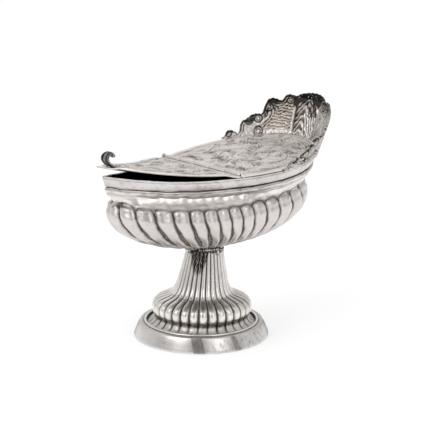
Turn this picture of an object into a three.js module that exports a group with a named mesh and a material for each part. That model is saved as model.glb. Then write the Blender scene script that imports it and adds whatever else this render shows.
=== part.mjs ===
// Silver incense boat on a trumpet foot, with a hinged fore deck and a tall crest round the stern.
// Millimetres, +Z up, -X to the pointed bow, +X to the stern, -Y to the near side.
import * as THREE from 'three';
import { mergeGeometries, mergeVertices } from 'three/addons/utils/BufferGeometryUtils.js';

// Fits
const gap = 0.3;
const sheet = 1.2;

// Foot skirt and its bead wire
const footRadius = 45;
const skirtTopRadius = 40.7;
const skirtHeight = 10;
const skirtWall = 1.4;
const skirtLip = 1.0;
const footSides = 64;
const wireRadius = 0.9;

// Raised foot dome and trumpet stem, with one flute count running over both
const fluteCount = 32;
const flutePoints = 4;
const domeRadius = 32.9;
const domeWidestHeight = 20;
const domeTopHeight = 29;
const domeTopRadius = 25;
const domeFluteDepth = 1.7;
const flangeInnerRadius = 30.6;
const flangeInnerHeight = 12.4;
const stemTopRadius = 12.5;
const stemTopHeight = 59;
const stemWaist = 0.648;
const stemFluteDepth = 0.9;
const stemLean = 2.9;
const solderHeight = 1.8;
const solderRadius = 13.2;

// Rim of the hull: where it is widest, its reach to each end, its half beam, and each end's shape
const rimWidest = 34;
const rimBow = 115.9;
const rimStern = 54.4;
const rimHalfBeam = 45.7;
const rimBowFill = 1.45;
const rimBowRound = 0.9;
const rimSternFill = 2.2;
const rimSternRound = 0.5;

// Sheer: the rim's lowest place and its rise to each end
const sheerLowX = -13;
const rimHeight = 113.2;
const bowSheer = 7.3;
const sternSheer = 8.5;

// Belly of the hull, and how far the neck over it reaches below the rim
const bellyWidest = 21;
const bellyBow = 93.2;
const bellyStern = 61.6;
const bellyHalfBeam = 46.3;
const bellyFill = 2.15;
const bellyRound = 0.5;
const bellyHeight = 88.4;
const bellyDepth = 24.2;
const bellySheerShare = 0.87;
const bellyFullness = 2.2;
const bellyRoundness = 2.19;
const bellyFloorScale = 0.22;
const neckDrop = 12.6;
const neckFootDrop = 16.2;
const lobeCount = 32;
const lobePoints = 4;
const lobeDepth = 2;
const lobeSwirl = 0.015;
const lobeSwirlLean = 0.35;
const lobeCrowding = 0.0222;
const lobeSternSpread = 0.0284;
const hullColumns = lobeCount * lobePoints;

// Rim band and the moulding wire under it
const bandHeight = 6.6;
const bandFlare = 2;
const bandWall = 1.4;
const mouldingRadius = 1.6;
const mouldingDrop = 9.3;
const mouldingInset = 2.5;

// Deck, lid and hinge
const deckThickness = 1;
const hingeX = 1;
const knuckleRadius = 1.2;
const boreRadius = 0.8;
const pinClearance = 0.08;
const hingeEndInset = 1.3;
const knuckleCount = 5;
const pinBallRadius = 1.6;
const lidAjar = THREE.MathUtils.degToRad(3.2);
const lidOverhang = 5.2;

// Thumb scroll riveted near the lid's tip
const thumbX = -79;
const thumbWidth = 6.6;
const thumbThickness = 1.1;
const thumbHeight = 8.6;
const thumbTongue = 12;
const thumbDropRadius = 1.6;
const rivetCount = 3;
const rivetPitch = 3;
const rivetRadius = 0.8;
const rivetStart = 4.6;

// Crest round the stern: distances along the stern from its middle, heights above the rim
const crestThickness = 1.2;
const crestLean = 0.335;
const crestSkirt = 1;
const crestHeight = 27.2;
const transomHeight = 25.6;
const transomFarFold = 7.6;
const transomNearFold = 12;
const farWingReach = 58.2;
const nearWingReach = 84;
const crestRows = 5;
const crestStep = 1.8;
const rollRadius = 3.6;
const rollEndShare = 0.4;
const rollTurn = 250;
const rollThickness = 1;
const rollSteps = 16;
const rollColumns = 8;

// Silver
const silver = (color, roughness) =>
  new THREE.MeshStandardMaterial({ color, roughness, metalness: 1 });
const polishedSilver = silver(0xc9c6c1, 0.25);
const chasedSilver = silver(0xbdb8b2, 0.35);
const agedSilver = silver(0x8f8a84, 0.5);
const solderGrey = silver(0x6b6763, 0.6);

const model = new THREE.Group();

function addPart(parent, name, geometry, material) {
  const mesh = new THREE.Mesh(geometry, material);
  mesh.name = name;
  parent.add(mesh);
  return mesh;
}

// Merged vertices and outward faces, whatever way the geometry was made
function closedBody(geometry) {
  geometry.deleteAttribute('normal');
  geometry.deleteAttribute('uv');
  const merged = mergeVertices(geometry, 1e-4);
  const position = merged.getAttribute('position');
  const source = merged.getIndex().array;
  const [a, b, c] = [new THREE.Vector3(), new THREE.Vector3(), new THREE.Vector3()];
  const index = [];
  let volume = 0;
  for (let i = 0; i < source.length; i += 3) {
    const [ia, ib, ic] = [source[i], source[i + 1], source[i + 2]];
    if (ia === ib || ib === ic || ic === ia) continue;
    a.fromBufferAttribute(position, ia);
    b.fromBufferAttribute(position, ib);
    c.fromBufferAttribute(position, ic);
    volume += a.dot(b.cross(c));
    index.push(ia, ib, ic);
  }
  if (volume < 0) index.reverse();
  merged.setIndex(index);
  merged.computeVertexNormals();
  return merged;
}

function fromTriangles(points, index) {
  const geometry = new THREE.BufferGeometry().setFromPoints(points);
  geometry.setIndex(index);
  return closedBody(geometry);
}

// Skin over a row of closed rings. A ring may have a whole multiple of its neighbour's points.
// Ends are closed with a fan about a middle point, or the last ring joins the first.
function loft(rings, joinEnds) {
  const points = rings.flat();
  const starts = [];
  let total = 0;
  for (const ring of rings) {
    starts.push(total);
    total += ring.length;
  }
  const index = [];
  const stitch = (i, k) => {
    const [big, small] = rings[i].length >= rings[k].length ? [i, k] : [k, i];
    const ratio = rings[big].length / rings[small].length;
    const flip = big === i;
    for (let j = 0; j < rings[small].length; j++) {
      const near = starts[small] + j;
      const next = starts[small] + ((j + 1) % rings[small].length);
      for (let m = 0; m < ratio; m++) {
        const from = starts[big] + j * ratio + m;
        const to = starts[big] + ((j * ratio + m + 1) % rings[big].length);
        index.push(...(flip ? [from, to, near] : [to, from, near]));
        if (m === ratio - 1) index.push(...(flip ? [to, next, near] : [next, to, near]));
      }
    }
  };
  for (let i = 0; i + 1 < rings.length; i++) stitch(i, i + 1);
  if (joinEnds) {
    stitch(rings.length - 1, 0);
    return fromTriangles(points, index);
  }
  for (const [i, first] of [[0, true], [rings.length - 1, false]]) {
    const middle = new THREE.Vector3();
    for (const point of rings[i]) middle.addScaledVector(point, 1 / rings[i].length);
    points.push(middle);
    const count = rings[i].length;
    for (let j = 0; j < count; j++) {
      const [here, next] = [starts[i] + j, starts[i] + ((j + 1) % count)];
      index.push(...(first ? [points.length - 1, next, here] : [points.length - 1, here, next]));
    }
  }
  return fromTriangles(points, index);
}

// Slab under a grid of top points, each with its own bottom point
function slab(top, bottom) {
  const columns = top[0].length;
  const rows = top.length;
  const points = [...top.flat(), ...bottom.flat()];
  const at = (side, i, j) => side * rows * columns + i * columns + j;
  const index = [];
  const quad = (a, b, c, d) => index.push(a, b, c, a, c, d);
  for (let i = 0; i + 1 < rows; i++) {
    for (let j = 0; j + 1 < columns; j++) {
      quad(at(0, i, j), at(0, i + 1, j), at(0, i + 1, j + 1), at(0, i, j + 1));
      quad(at(1, i, j), at(1, i, j + 1), at(1, i + 1, j + 1), at(1, i + 1, j));
    }
    quad(at(0, i, 0), at(1, i, 0), at(1, i + 1, 0), at(0, i + 1, 0));
    const last = columns - 1;
    quad(at(0, i + 1, last), at(1, i + 1, last), at(1, i, last), at(0, i, last));
  }
  for (let j = 0; j + 1 < columns; j++) {
    quad(at(0, 0, j + 1), at(1, 0, j + 1), at(1, 0, j), at(0, 0, j));
    const end = rows - 1;
    quad(at(0, end, j), at(1, end, j), at(1, end, j + 1), at(0, end, j + 1));
  }
  return fromTriangles(points, index);
}

// Turned piece about the Z axis from [radius, height] points of a closed section
function turned(section, sides) {
  const profile = [...section, section[0]].map(([r, z]) => new THREE.Vector2(r, z));
  return closedBody(new THREE.LatheGeometry(profile, sides).rotateX(Math.PI / 2));
}

// Round section of a wire, as points of a closed section
function wireSection(radius, height, wire, points = 6) {
  return Array.from({ length: points }, (_, i) => {
    const angle = (i / points) * 2 * Math.PI;
    return [radius + wire * Math.cos(angle), height + wire * Math.sin(angle)];
  });
}

// Foot
const lobe = (phase) => Math.sin(Math.PI * phase);

// A fluted ring: its radius at the ribs, and how far the grooves between them lie inside it
function flutedRing(radius, height, depth, centreX = 0) {
  return Array.from({ length: fluteCount * flutePoints }, (_, j) => {
    const angle = (j / (fluteCount * flutePoints)) * 2 * Math.PI;
    const r = radius - depth * (1 - lobe((j % flutePoints) / flutePoints));
    return new THREE.Vector3(centreX + r * Math.cos(angle), r * Math.sin(angle), height);
  });
}

function plainRing(radius, height, centreX = 0) {
  return Array.from({ length: fluteCount }, (_, j) => {
    const angle = (j / fluteCount) * 2 * Math.PI;
    const [x, y] = [radius * Math.cos(angle), radius * Math.sin(angle)];
    return new THREE.Vector3(centreX + x, y, height);
  });
}

function baseBand() {
  return turned([
    [footRadius - skirtWall, 0],
    [footRadius, 0],
    [skirtTopRadius + 0.2, skirtHeight - 0.5],
    [skirtTopRadius - 0.3, skirtHeight],
    [skirtTopRadius - skirtLip - skirtWall, skirtHeight],
    [skirtTopRadius - skirtLip - skirtWall, skirtHeight - skirtLip],
    [skirtTopRadius - skirtWall, skirtHeight - skirtLip - 0.4],
  ], footSides);
}

const flangeRadius = skirtTopRadius - skirtWall - gap;
const flangeHeight = skirtHeight - skirtLip - 0.4 - gap;
const wireSeatRadius = skirtTopRadius - skirtLip - skirtWall - gap - wireRadius;
const shoulder = domeRadius - domeTopRadius;
const domeRise = domeTopHeight - domeWidestHeight;
const stemMouthRadius = 0.76 * domeTopRadius;

function footDome() {
  const outer = [
    plainRing(flangeRadius - 0.3, flangeHeight - sheet),
    flutedRing(flangeRadius - 0.3, flangeHeight - 0.6, 0),
    flutedRing(wireSeatRadius - wireRadius - 0.4, flangeHeight + 0.6, 0.3),
    flutedRing((flangeInnerRadius + wireSeatRadius) / 2, (flangeHeight + flangeInnerHeight) / 2, 0.7),
    flutedRing(flangeInnerRadius, flangeInnerHeight, 1.1),
    flutedRing(domeRadius - 0.05 * shoulder, domeWidestHeight - 0.4 * domeRise, domeFluteDepth),
    flutedRing(domeRadius, domeWidestHeight, domeFluteDepth),
    flutedRing(domeRadius - 0.13 * shoulder, domeWidestHeight + 0.44 * domeRise, domeFluteDepth),
    flutedRing(domeRadius - 0.46 * shoulder, domeWidestHeight + 0.77 * domeRise, domeFluteDepth),
    flutedRing(domeTopRadius + 0.2 * shoulder, domeTopHeight - 0.06 * domeRise, 0.7 * domeFluteDepth),
    plainRing(domeTopRadius, domeTopHeight),
    plainRing(stemMouthRadius, domeTopHeight),
  ];
  const wallBelow = sheet + domeFluteDepth;
  const inner = [
    plainRing(stemMouthRadius, domeTopHeight - sheet),
    plainRing(domeTopRadius - 0.2 * shoulder, domeTopHeight - wallBelow),
    plainRing(domeRadius - wallBelow - 0.15 * shoulder, domeWidestHeight + 0.33 * domeRise),
    plainRing(domeRadius - wallBelow - 0.02 * shoulder, domeWidestHeight),
    plainRing(flangeInnerRadius - wallBelow, flangeInnerHeight - 0.4),
    plainRing(flangeInnerRadius - 1, flangeInnerHeight - wallBelow),
  ];
  return loft([...outer, ...inner], true);
}

const stemFootHeight = domeTopHeight + gap;
const stemLength = stemTopHeight - stemFootHeight;
const stemCentre = (height) => (stemLean * (height - stemFootHeight)) / stemLength;

function trumpetStem() {
  // Shares of the stem's length, and of the dome's top radius at the ribs there, flaring at the foot
  const flare = [
    [0.013, 0.984], [0.05, 0.848], [0.108, 0.76], [0.19, 0.7], [0.343, stemWaist],
    [0.52, 0.604], [0.73, 0.552],
  ];
  const outer = [
    plainRing(0.976 * domeTopRadius, stemFootHeight),
    ...flare.map(([rise, radius]) => {
      const height = stemFootHeight + rise * stemLength;
      return flutedRing(radius * domeTopRadius, height, stemFluteDepth, stemCentre(height));
    }),
    flutedRing(stemTopRadius, stemTopHeight - 0.8, stemFluteDepth, stemCentre(stemTopHeight)),
    plainRing(stemTopRadius - stemFluteDepth, stemTopHeight, stemCentre(stemTopHeight)),
  ];
  const wall = sheet + stemFluteDepth;
  const bore = [[0.67, 0.548], [0.303, stemWaist], [0.101, 0.736]];
  const inner = [
    plainRing(stemTopRadius - wall, stemTopHeight - sheet, stemCentre(stemTopHeight)),
    ...bore.map(([rise, radius]) => {
      const height = stemFootHeight + rise * stemLength;
      return plainRing(radius * domeTopRadius - wall, height, stemCentre(height));
    }),
    plainRing(stemMouthRadius + 2 * gap, stemFootHeight),
  ];
  return { outer, inner };
}

// The trumpet is open below and closed by its own top
function trumpetSolid() {
  const { outer, inner } = trumpetStem();
  return loft([...inner, ...outer], false);
}

function solderJoint() {
  const bottom = stemTopHeight + gap;
  const edge = solderRadius - 0.2;
  const ring = (radius, height) => Array.from({ length: fluteCount }, (_, j) => {
    const angle = (j / fluteCount) * 2 * Math.PI;
    const r = radius + 0.35 * Math.sin(3 * angle + 1) + 0.25 * Math.sin(7 * angle);
    return new THREE.Vector3(
      stemCentre(stemTopHeight) + r * Math.cos(angle), r * Math.sin(angle), height);
  });
  return loft([
    ring(edge - 1, bottom),
    ring(edge, bottom + 0.5),
    ring(edge, bottom + solderHeight - 0.5),
    ring(edge - 1, bottom + solderHeight),
  ], false);
}

// Hull plans: points round a plan at equal steps of its length, from the bow along the near side
const rimPlan = {
  widest: rimWidest, bow: rimBow, stern: rimStern, half: rimHalfBeam,
  bowFill: rimBowFill, bowRound: rimBowRound, sternFill: rimSternFill, sternRound: rimSternRound,
};
const bellyPlan = {
  widest: bellyWidest, bow: bellyBow, stern: bellyStern, half: bellyHalfBeam,
  bowFill: bellyFill, bowRound: bellyRound, sternFill: bellyFill, sternRound: bellyRound,
};

const insetPlan = (plan, inset) => ({
  ...plan, bow: plan.bow - inset, stern: plan.stern - inset, half: plan.half - inset,
});

// One side of a plan, from the bow's tip to the middle of the stern, with its length measured
function planSide(plan) {
  const samples = 1200;
  const side = [];
  let length = 0;
  for (let i = 0; i <= samples; i++) {
    const c = -Math.cos((Math.PI * i) / samples);
    const [reach, fill, round] = c > 0
      ? [plan.stern, plan.sternFill, plan.sternRound]
      : [plan.bow, plan.bowFill, plan.bowRound];
    const x = reach * c;
    const y = plan.half * (1 - Math.abs(c) ** fill) ** round;
    const before = side[side.length - 1];
    if (before) length += Math.hypot(x - before.x, y - before.y);
    side.push({ x, y, length });
  }
  return side;
}

function pointAlong(side, target) {
  const next = side.findIndex((p) => p.length >= target);
  if (next < 1) return next === 0 ? side[0] : side[side.length - 1];
  const [p, q] = [side[next - 1], side[next]];
  const share = (target - p.length) / (q.length - p.length);
  return { x: p.x + share * (q.x - p.x), y: p.y + share * (q.y - p.y), length: target };
}

// Point of a plan at a share of the whole way round
function planPoint(plan, side, share) {
  const turn = share - Math.floor(share);
  const far = turn > 0.5;
  const total = side[side.length - 1].length;
  const point = pointAlong(side, (far ? 1 - turn : turn) * 2 * total);
  return { x: plan.widest + point.x, y: far ? point.y : -point.y };
}

const bowReach = rimWidest - rimBow - sheerLowX;
const sternReach = rimWidest + rimStern - sheerLowX;
const rimSheer = (x) => {
  const along = x - sheerLowX;
  const [rise, reach] = along < 0 ? [bowSheer, bowReach] : [sternSheer, sternReach];
  return rimHeight + rise * (along / reach) ** 2;
};

// Share of the way round for a share of the lobes: they are crowded amidships and wide at the stern
const lobeShare = (share) =>
  share + lobeCrowding * Math.sin(4 * Math.PI * share) - lobeSternSpread * Math.sin(2 * Math.PI * share);

// Ring of points that follows the rim at an inset, at a drop below its sheer
function rimRing(inset, drop, columns = hullColumns) {
  const plan = insetPlan(rimPlan, inset);
  const side = planSide(plan);
  return Array.from({ length: columns }, (_, j) => {
    const p = planPoint(plan, side, lobeShare(j / columns));
    return new THREE.Vector3(p.x, p.y, rimSheer(p.x) - drop);
  });
}

// How far the lobes have turned at a share of their full swirl, most at the bow
const swirlAt = (share, swirl) => lobeSwirl * swirl * (lobeSwirlLean + Math.cos(2 * Math.PI * share));

// Ring of the belly at a depth from 0, its widest level, to 1, its floor; negative is above
function bellyRing(depth, { inset = 0, lift = 0, swirl = 0, columns = hullColumns, narrow = 1 } = {}) {
  const plan = insetPlan(bellyPlan, inset);
  const side = planSide(plan);
  const curve = depth > 0 ? (1 - depth ** bellyFullness) ** (1 / bellyRoundness) : 1;
  const scale = (bellyFloorScale + (1 - bellyFloorScale) * curve) * narrow;
  return Array.from({ length: columns }, (_, j) => {
    const share = lobeShare(j / columns);
    const p = planPoint(plan, side, share + swirlAt(share, swirl));
    const rise = bellySheerShare * (rimSheer(p.x) - rimHeight) * curve;
    return new THREE.Vector3(p.x * scale, p.y * scale, bellyHeight - bellyDepth * depth + rise + lift);
  });
}

const blendRings = (a, b, share) => a.map((p, j) => p.clone().lerp(b[j], share));

// Round bottom of the bowl, flat over the stem
function bottomRing(radius, height, columns, swirl) {
  return Array.from({ length: columns }, (_, j) => {
    const share = lobeShare(j / columns);
    const angle = Math.PI + (share + swirlAt(share, swirl)) * 2 * Math.PI;
    return new THREE.Vector3(
      stemCentre(stemTopHeight) + radius * Math.cos(angle), radius * Math.sin(angle), height);
  });
}

// Presses the grooves between the lobes into a grid of smooth rings
function chaseLobes(rings, depths) {
  const normals = rings.map((ring, i) => ring.map((_, j) => {
    const count = ring.length;
    const across = ring[(j + 1) % count].clone().sub(ring[(j + count - 1) % count]);
    const above = rings[Math.max(0, i - 1)][j];
    const below = rings[Math.min(rings.length - 1, i + 1)][j];
    return across.cross(above.clone().sub(below)).normalize();
  }));
  return rings.map((ring, i) => ring.map((point, j) => {
    const groove = depths[i] * (1 - lobe(((j + lobePoints - 1) % lobePoints) / lobePoints));
    return point.clone().addScaledVector(normals[i][j], -groove);
  }));
}

const bandInset = gap + bandWall;
const bowlFloorHeight = stemTopHeight + 2 * gap + solderHeight;

function hullBowl() {
  const neckInset = mouldingInset + mouldingRadius + gap;
  const smooth = [
    rimRing(bandInset, 0),
    rimRing(bandInset + bandFlare, bandHeight),
    rimRing(neckInset, mouldingDrop),
    blendRings(rimRing(neckInset + 0.4, neckDrop), bellyRing(-0.4, { narrow: 0.95 }), 0.1),
    blendRings(rimRing(neckInset + 1, neckFootDrop), bellyRing(-0.33, { narrow: 0.93 }), 0.5),
    bellyRing(-0.29, { narrow: 0.955 }),
    bellyRing(-0.2, { narrow: 0.975 }),
    bellyRing(0),
    bellyRing(0.3, { swirl: 0.3 }),
    bellyRing(0.55, { swirl: 0.6 }),
    bellyRing(0.76, { swirl: 0.8 }),
    bellyRing(0.9, { swirl: 0.9 }),
    bellyRing(0.985, { swirl: 1 }),
    bottomRing(stemTopRadius, bowlFloorHeight, hullColumns, 1),
  ];
  const depths = [0, 0, 0, 0, 0, 0, 0.75, 1, 1, 1, 1, 0.9, 0.6, 0].map((share) => share * lobeDepth);
  const outer = chaseLobes(smooth, depths);
  const columns = hullColumns / 2;
  const wall = sheet + lobeDepth;
  const deeper = { inset: wall, columns };
  const inner = [
    rimRing(bandInset + sheet, 0, columns),
    rimRing(neckInset + sheet, mouldingDrop, columns),
    blendRings(
      rimRing(neckInset + 1 + sheet, neckFootDrop, columns),
      bellyRing(-0.33, { inset: sheet, narrow: 0.93, columns }), 0.5),
    bellyRing(0, deeper),
    bellyRing(0.5, { ...deeper, lift: 1.6 }),
    bellyRing(0.84, { ...deeper, lift: 2.6 }),
    bottomRing(stemTopRadius, bowlFloorHeight + wall + 2, columns, 0),
  ];
  return loft([...inner.reverse(), ...outer], false);
}

function rimBand() {
  return loft([
    rimRing(0.4, 0),
    rimRing(0, 0.5),
    rimRing(bandFlare, bandHeight - 0.3),
    rimRing(bandFlare + 0.5, bandHeight),
    rimRing(bandFlare + bandWall, bandHeight),
    rimRing(bandWall, 0),
  ], true);
}

function rimMoulding() {
  const section = wireSection(mouldingInset, mouldingDrop, mouldingRadius);
  return loft(section.map(([inset, drop]) => rimRing(inset, drop)), true);
}

// Half breadth of a plan at a place along it
function halfAt(plan, x) {
  const local = x - plan.widest;
  const [reach, fill, round] = local > 0
    ? [plan.stern, plan.sternFill, plan.sternRound]
    : [-plan.bow, plan.bowFill, plan.bowRound];
  return plan.half * (1 - (local / reach) ** fill) ** round;
}

// Deck and lid plates: cross lines from the near edge to the far edge of a plan
function plateLines(plan, from, to) {
  const side = planSide(plan);
  const lines = [];
  const total = side[side.length - 1].length;
  for (let j = 1; j < hullColumns / 2; j++) {
    const p = pointAlong(side, (j / (hullColumns / 2)) * total);
    const x = p.x + plan.widest;
    if (x > from + deckThickness && x < to) lines.push([x, p.y]);
  }
  const end = to < plan.widest ? [[to, halfAt(plan, to)]] : [];
  return [[from, halfAt(plan, from)], ...lines, ...end];
}

function plate(lines, bottomAt) {
  const across = [-1, 0, 1];
  const layer = (lift) => lines.map(([x, half]) =>
    across.map((side) => new THREE.Vector3(x, side * half, bottomAt(x) + lift)));
  return slab(layer(deckThickness), layer(0));
}

const plateBottom = (x) => rimSheer(x) + gap;
const hingeHeight = rimSheer(hingeX) + gap + knuckleRadius;
const plateEdge = knuckleRadius + gap;
const hingeHalfLength = halfAt(rimPlan, hingeX) - hingeEndInset;

function deckPlate() {
  return plate(plateLines(rimPlan, hingeX + plateEdge, rimPlan.widest + rimPlan.stern), plateBottom);
}

// The lid turns in its own group about the pin, so its pieces are made about the pin's axis
const lid = new THREE.Group();
lid.position.set(hingeX, 0, hingeHeight);
lid.rotation.y = lidAjar;
const aboutPin = (geometry) => geometry.translate(-hingeX, 0, -hingeHeight);

function lidPlate() {
  const plan = { ...rimPlan, bow: rimPlan.bow + lidOverhang };
  const tip = plan.widest - plan.bow + 0.8;
  return aboutPin(plate(plateLines(plan, tip, hingeX - plateEdge), plateBottom));
}

// Hinge
const knuckleSides = 16;
const pinRadius = boreRadius * Math.cos(Math.PI / knuckleSides) - pinClearance;
const acrossHull = (geometry) => geometry.rotateX(Math.PI / 2);

function knuckle(from, to) {
  const section = [[boreRadius, from], [knuckleRadius, from], [knuckleRadius, to], [boreRadius, to]];
  return turned(section, knuckleSides).rotateX(-Math.PI / 2);
}

function pin() {
  const half = hingeHalfLength;
  return closedBody(new THREE.CylinderGeometry(pinRadius, pinRadius, 2 * half, knuckleSides));
}

function pinBall() {
  return closedBody(new THREE.SphereGeometry(pinBallRadius, 12, 8));
}

// Thumb scroll: a strap that rises from its riveted tongue, curls back and ends in a drop
function thumbScroll() {
  const rise = thumbHeight;
  const path = new THREE.SplineCurve([
    [thumbTongue, 0], [5, 0], [2.4, 0.04 * rise], [0, 0.22 * rise], [-2, 0.46 * rise], [-1.8, 0.78 * rise],
    [0.2, rise], [2.7, 0.93 * rise], [3.9, 0.68 * rise],
  ].map(([x, z]) => new THREE.Vector2(x, z)));
  const steps = 22;
  const left = [];
  const right = [];
  for (let i = 0; i <= steps; i++) {
    const point = path.getPoint(i / steps);
    const tangent = path.getTangent(i / steps);
    const drop = i > steps - 3 ? thumbDropRadius * (1 - 0.35 * Math.abs(i - steps + 1)) : 0;
    const half = Math.max(thumbThickness / 2, drop);
    left.push(new THREE.Vector2(point.x - tangent.y * half, point.y + tangent.x * half));
    right.push(new THREE.Vector2(point.x + tangent.y * half, point.y - tangent.x * half));
  }
  const shape = new THREE.Shape([...left, ...right.reverse()]);
  const strap = new THREE.ExtrudeGeometry(shape, { depth: thumbWidth, bevelEnabled: false });
  return closedBody(strap.translate(0, 0, -thumbWidth / 2).rotateX(Math.PI / 2));
}

const lidSlope = (x) => (rimSheer(x + 1) - rimSheer(x - 1)) / 2;
const thumbSeat = (geometry) => {
  const middle = thumbTongue * 0.6;
  const slope = lidSlope(thumbX + middle);
  const top = plateBottom(thumbX + middle) + deckThickness + gap - middle * slope;
  return aboutPin(geometry.rotateY(-Math.atan(slope)).translate(thumbX, 0, top));
};

function rivetHead(index) {
  const head = new THREE.SphereGeometry(rivetRadius, 10, 5, 0, 2 * Math.PI, 0, Math.PI / 2);
  const base = new THREE.CircleGeometry(rivetRadius, 10).rotateX(Math.PI / 2);
  const body = mergeGeometries([head, base]).rotateX(Math.PI / 2);
  return closedBody(body).translate(rivetStart + index * rivetPitch, 0, thumbThickness + gap);
}

// Crest: a leaning wall round the outside of the stern, cut at the two folds of the transom
const crestPlan = insetPlan(rimPlan, -(gap + crestThickness / 2));
const crestSide = planSide(crestPlan);
const crestLength = crestSide[crestSide.length - 1].length;

// Place on the crest: distance from the stern's middle, positive on the far side, and a height
function crestPoint(distance, height, offset) {
  const at = (d) => {
    const p = pointAlong(crestSide, crestLength - Math.abs(d));
    return new THREE.Vector2(p.x + crestPlan.widest, d < 0 ? -p.y : p.y);
  };
  const here = at(distance);
  const along = at(distance + 0.4).sub(at(distance - 0.4)).normalize();
  const out = crestLean * Math.max(height, 0) + offset;
  const base = rimSheer(here.x);
  return new THREE.Vector3(here.x + along.y * out, here.y - along.x * out, base + height);
}

// Wall between two distances, with the top height given at each distance
function crestWall(from, to, topAt) {
  const columns = Math.ceil(Math.abs(to - from) / crestStep) + 1;
  const face = (offset) => Array.from({ length: columns }, (_, i) => {
    const distance = from + ((to - from) * i) / (columns - 1);
    return Array.from({ length: crestRows + 1 }, (_, k) => {
      const height = -crestSkirt + ((topAt(distance) + crestSkirt) * k) / crestRows;
      return crestPoint(distance, height, offset);
    });
  });
  return slab(face(crestThickness / 2), face(-crestThickness / 2));
}

// Stepped scrolls of the wings: shares of the way along the wing and of the crest's height
const farOutline = [
  [0, 0.98], [0.09, 0.99], [0.15, 0.993], [0.183, 0.92], [0.215, 0.842], [0.276, 0.879], [0.34, 0.901],
  [0.38, 0.864], [0.402, 0.794], [0.433, 0.61], [0.465, 0.518], [0.527, 0.54], [0.59, 0.504], [0.65, 0.419],
  [0.712, 0.386], [0.742, 0.184], [0.769, 0.107], [0.831, 0.191], [0.891, 0.213], [0.93, 0.176],
  [0.95, 0.092], [1, 0.063],
];
const nearOutline = [
  [0, 0.98], [0.12, 1], [0.177, 0.95], [0.219, 0.912], [0.261, 0.86], [0.303, 0.78], [0.345, 0.74],
  [0.4, 0.73], [0.456, 0.745], [0.491, 0.64], [0.559, 0.6], [0.61, 0.615], [0.656, 0.588], [0.7, 0.52],
  [0.714, 0.42], [0.791, 0.375], [0.833, 0.338], [0.874, 0.276], [0.894, 0.22], [0.916, 0.2],
  [0.955, 0.22], [0.99, 0.187], [1, 0.06],
];

function wingHeight(outline, share) {
  const next = Math.max(1, outline.findIndex(([s]) => s >= share));
  const [p, q] = [outline[next - 1], outline[next]];
  return crestHeight * (p[1] + ((q[1] - p[1]) * (share - p[0])) / (q[0] - p[0]));
}

function crestWing(side, fold, reach, outline) {
  const start = fold + gap;
  return crestWall(side * start, side * reach, (d) =>
    wingHeight(outline, Math.min(1, (Math.abs(d) - start) / (reach - start))));
}

// Curl along the top of the transom, widest in the middle and rolled backward
function crestRoll() {
  const turn = THREE.MathUtils.degToRad(rollTurn);
  const shell = (wall) => Array.from({ length: rollSteps + 1 }, (_, i) => {
    const angle = Math.PI - (turn * i) / rollSteps;
    return Array.from({ length: rollColumns + 1 }, (_, j) => {
      const share = j / rollColumns;
      const distance = -transomNearFold + share * (transomNearFold + transomFarFold);
      const radius = rollRadius * (rollEndShare + (1 - rollEndShare) * Math.sin(Math.PI * share));
      const curl = radius - wall;
      const seat = crestPoint(distance, transomHeight + gap, radius - crestThickness / 2);
      const reach = radius + curl * Math.cos(angle) - crestThickness / 2;
      const place = crestPoint(distance, transomHeight + gap, reach);
      return place.setZ(seat.z + curl * Math.sin(angle));
    });
  });
  return slab(shell(0), shell(rollThickness));
}

// Assembly
addPart(model, 'base_band', baseBand(), polishedSilver);
const baseWire = turned(wireSection(wireSeatRadius, skirtHeight, wireRadius), footSides);
addPart(model, 'base_wire', baseWire, agedSilver);
addPart(model, 'foot_dome', footDome(), chasedSilver);
addPart(model, 'trumpet_stem', trumpetSolid(), chasedSilver);
addPart(model, 'solder_joint', solderJoint(), solderGrey);
addPart(model, 'hull_bowl', hullBowl(), chasedSilver);
addPart(model, 'rim_moulding', rimMoulding(), polishedSilver);
addPart(model, 'rim_band', rimBand(), polishedSilver);
addPart(model, 'deck_plate', deckPlate(), chasedSilver);

const knucklePitch = (2 * hingeHalfLength - gap) / knuckleCount;
const knuckleNames = [
  'deck_knuckle_near', 'lid_knuckle_near', 'deck_knuckle_middle', 'lid_knuckle_far', 'deck_knuckle_far',
];
knuckleNames.forEach((name, i) => {
  const from = -hingeHalfLength + gap + i * knucklePitch;
  const geometry = knuckle(from, from + knucklePitch - gap);
  const onLid = name.startsWith('lid');
  const piece = addPart(onLid ? lid : model, name, geometry, agedSilver);
  if (!onLid) piece.position.set(hingeX, 0, hingeHeight);
});

const pinMesh = addPart(model, 'hinge_pin', pin(), agedSilver);
pinMesh.position.set(hingeX, 0, hingeHeight);
for (const [name, side] of [['pin_ball_near', -1], ['pin_ball_far', 1]]) {
  const ball = addPart(model, name, acrossHull(pinBall()), polishedSilver);
  ball.position.set(hingeX, side * (hingeHalfLength + gap + pinBallRadius), hingeHeight);
}

addPart(lid, 'lid_plate', lidPlate(), chasedSilver);
const thumb = thumbScroll().translate(0, 0, thumbThickness / 2);
addPart(lid, 'thumb_scroll', thumbSeat(thumb), agedSilver);
for (let i = 0; i < rivetCount; i++) {
  addPart(lid, `thumb_rivet_${i + 1}`, thumbSeat(rivetHead(i)), agedSilver);
}
model.add(lid);

const transom = crestWall(-transomNearFold, transomFarFold, () => transomHeight);
addPart(model, 'crest_transom', transom, chasedSilver);
addPart(model, 'crest_wing_far', crestWing(1, transomFarFold, farWingReach, farOutline), chasedSilver);
addPart(model, 'crest_wing_near', crestWing(-1, transomNearFold, nearWingReach, nearOutline), chasedSilver);
addPart(model, 'crest_roll', crestRoll(), agedSilver);

// The origin is on the surface it stands on, under the middle of its overall length and width
model.updateMatrixWorld(true);
const bounds = new THREE.Box3().setFromObject(model, true);
model.position.x = -(bounds.min.x + bounds.max.x) / 2;
model.position.y = -(bounds.min.y + bounds.max.y) / 2;
model.updateMatrixWorld(true);

export default model;
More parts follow.
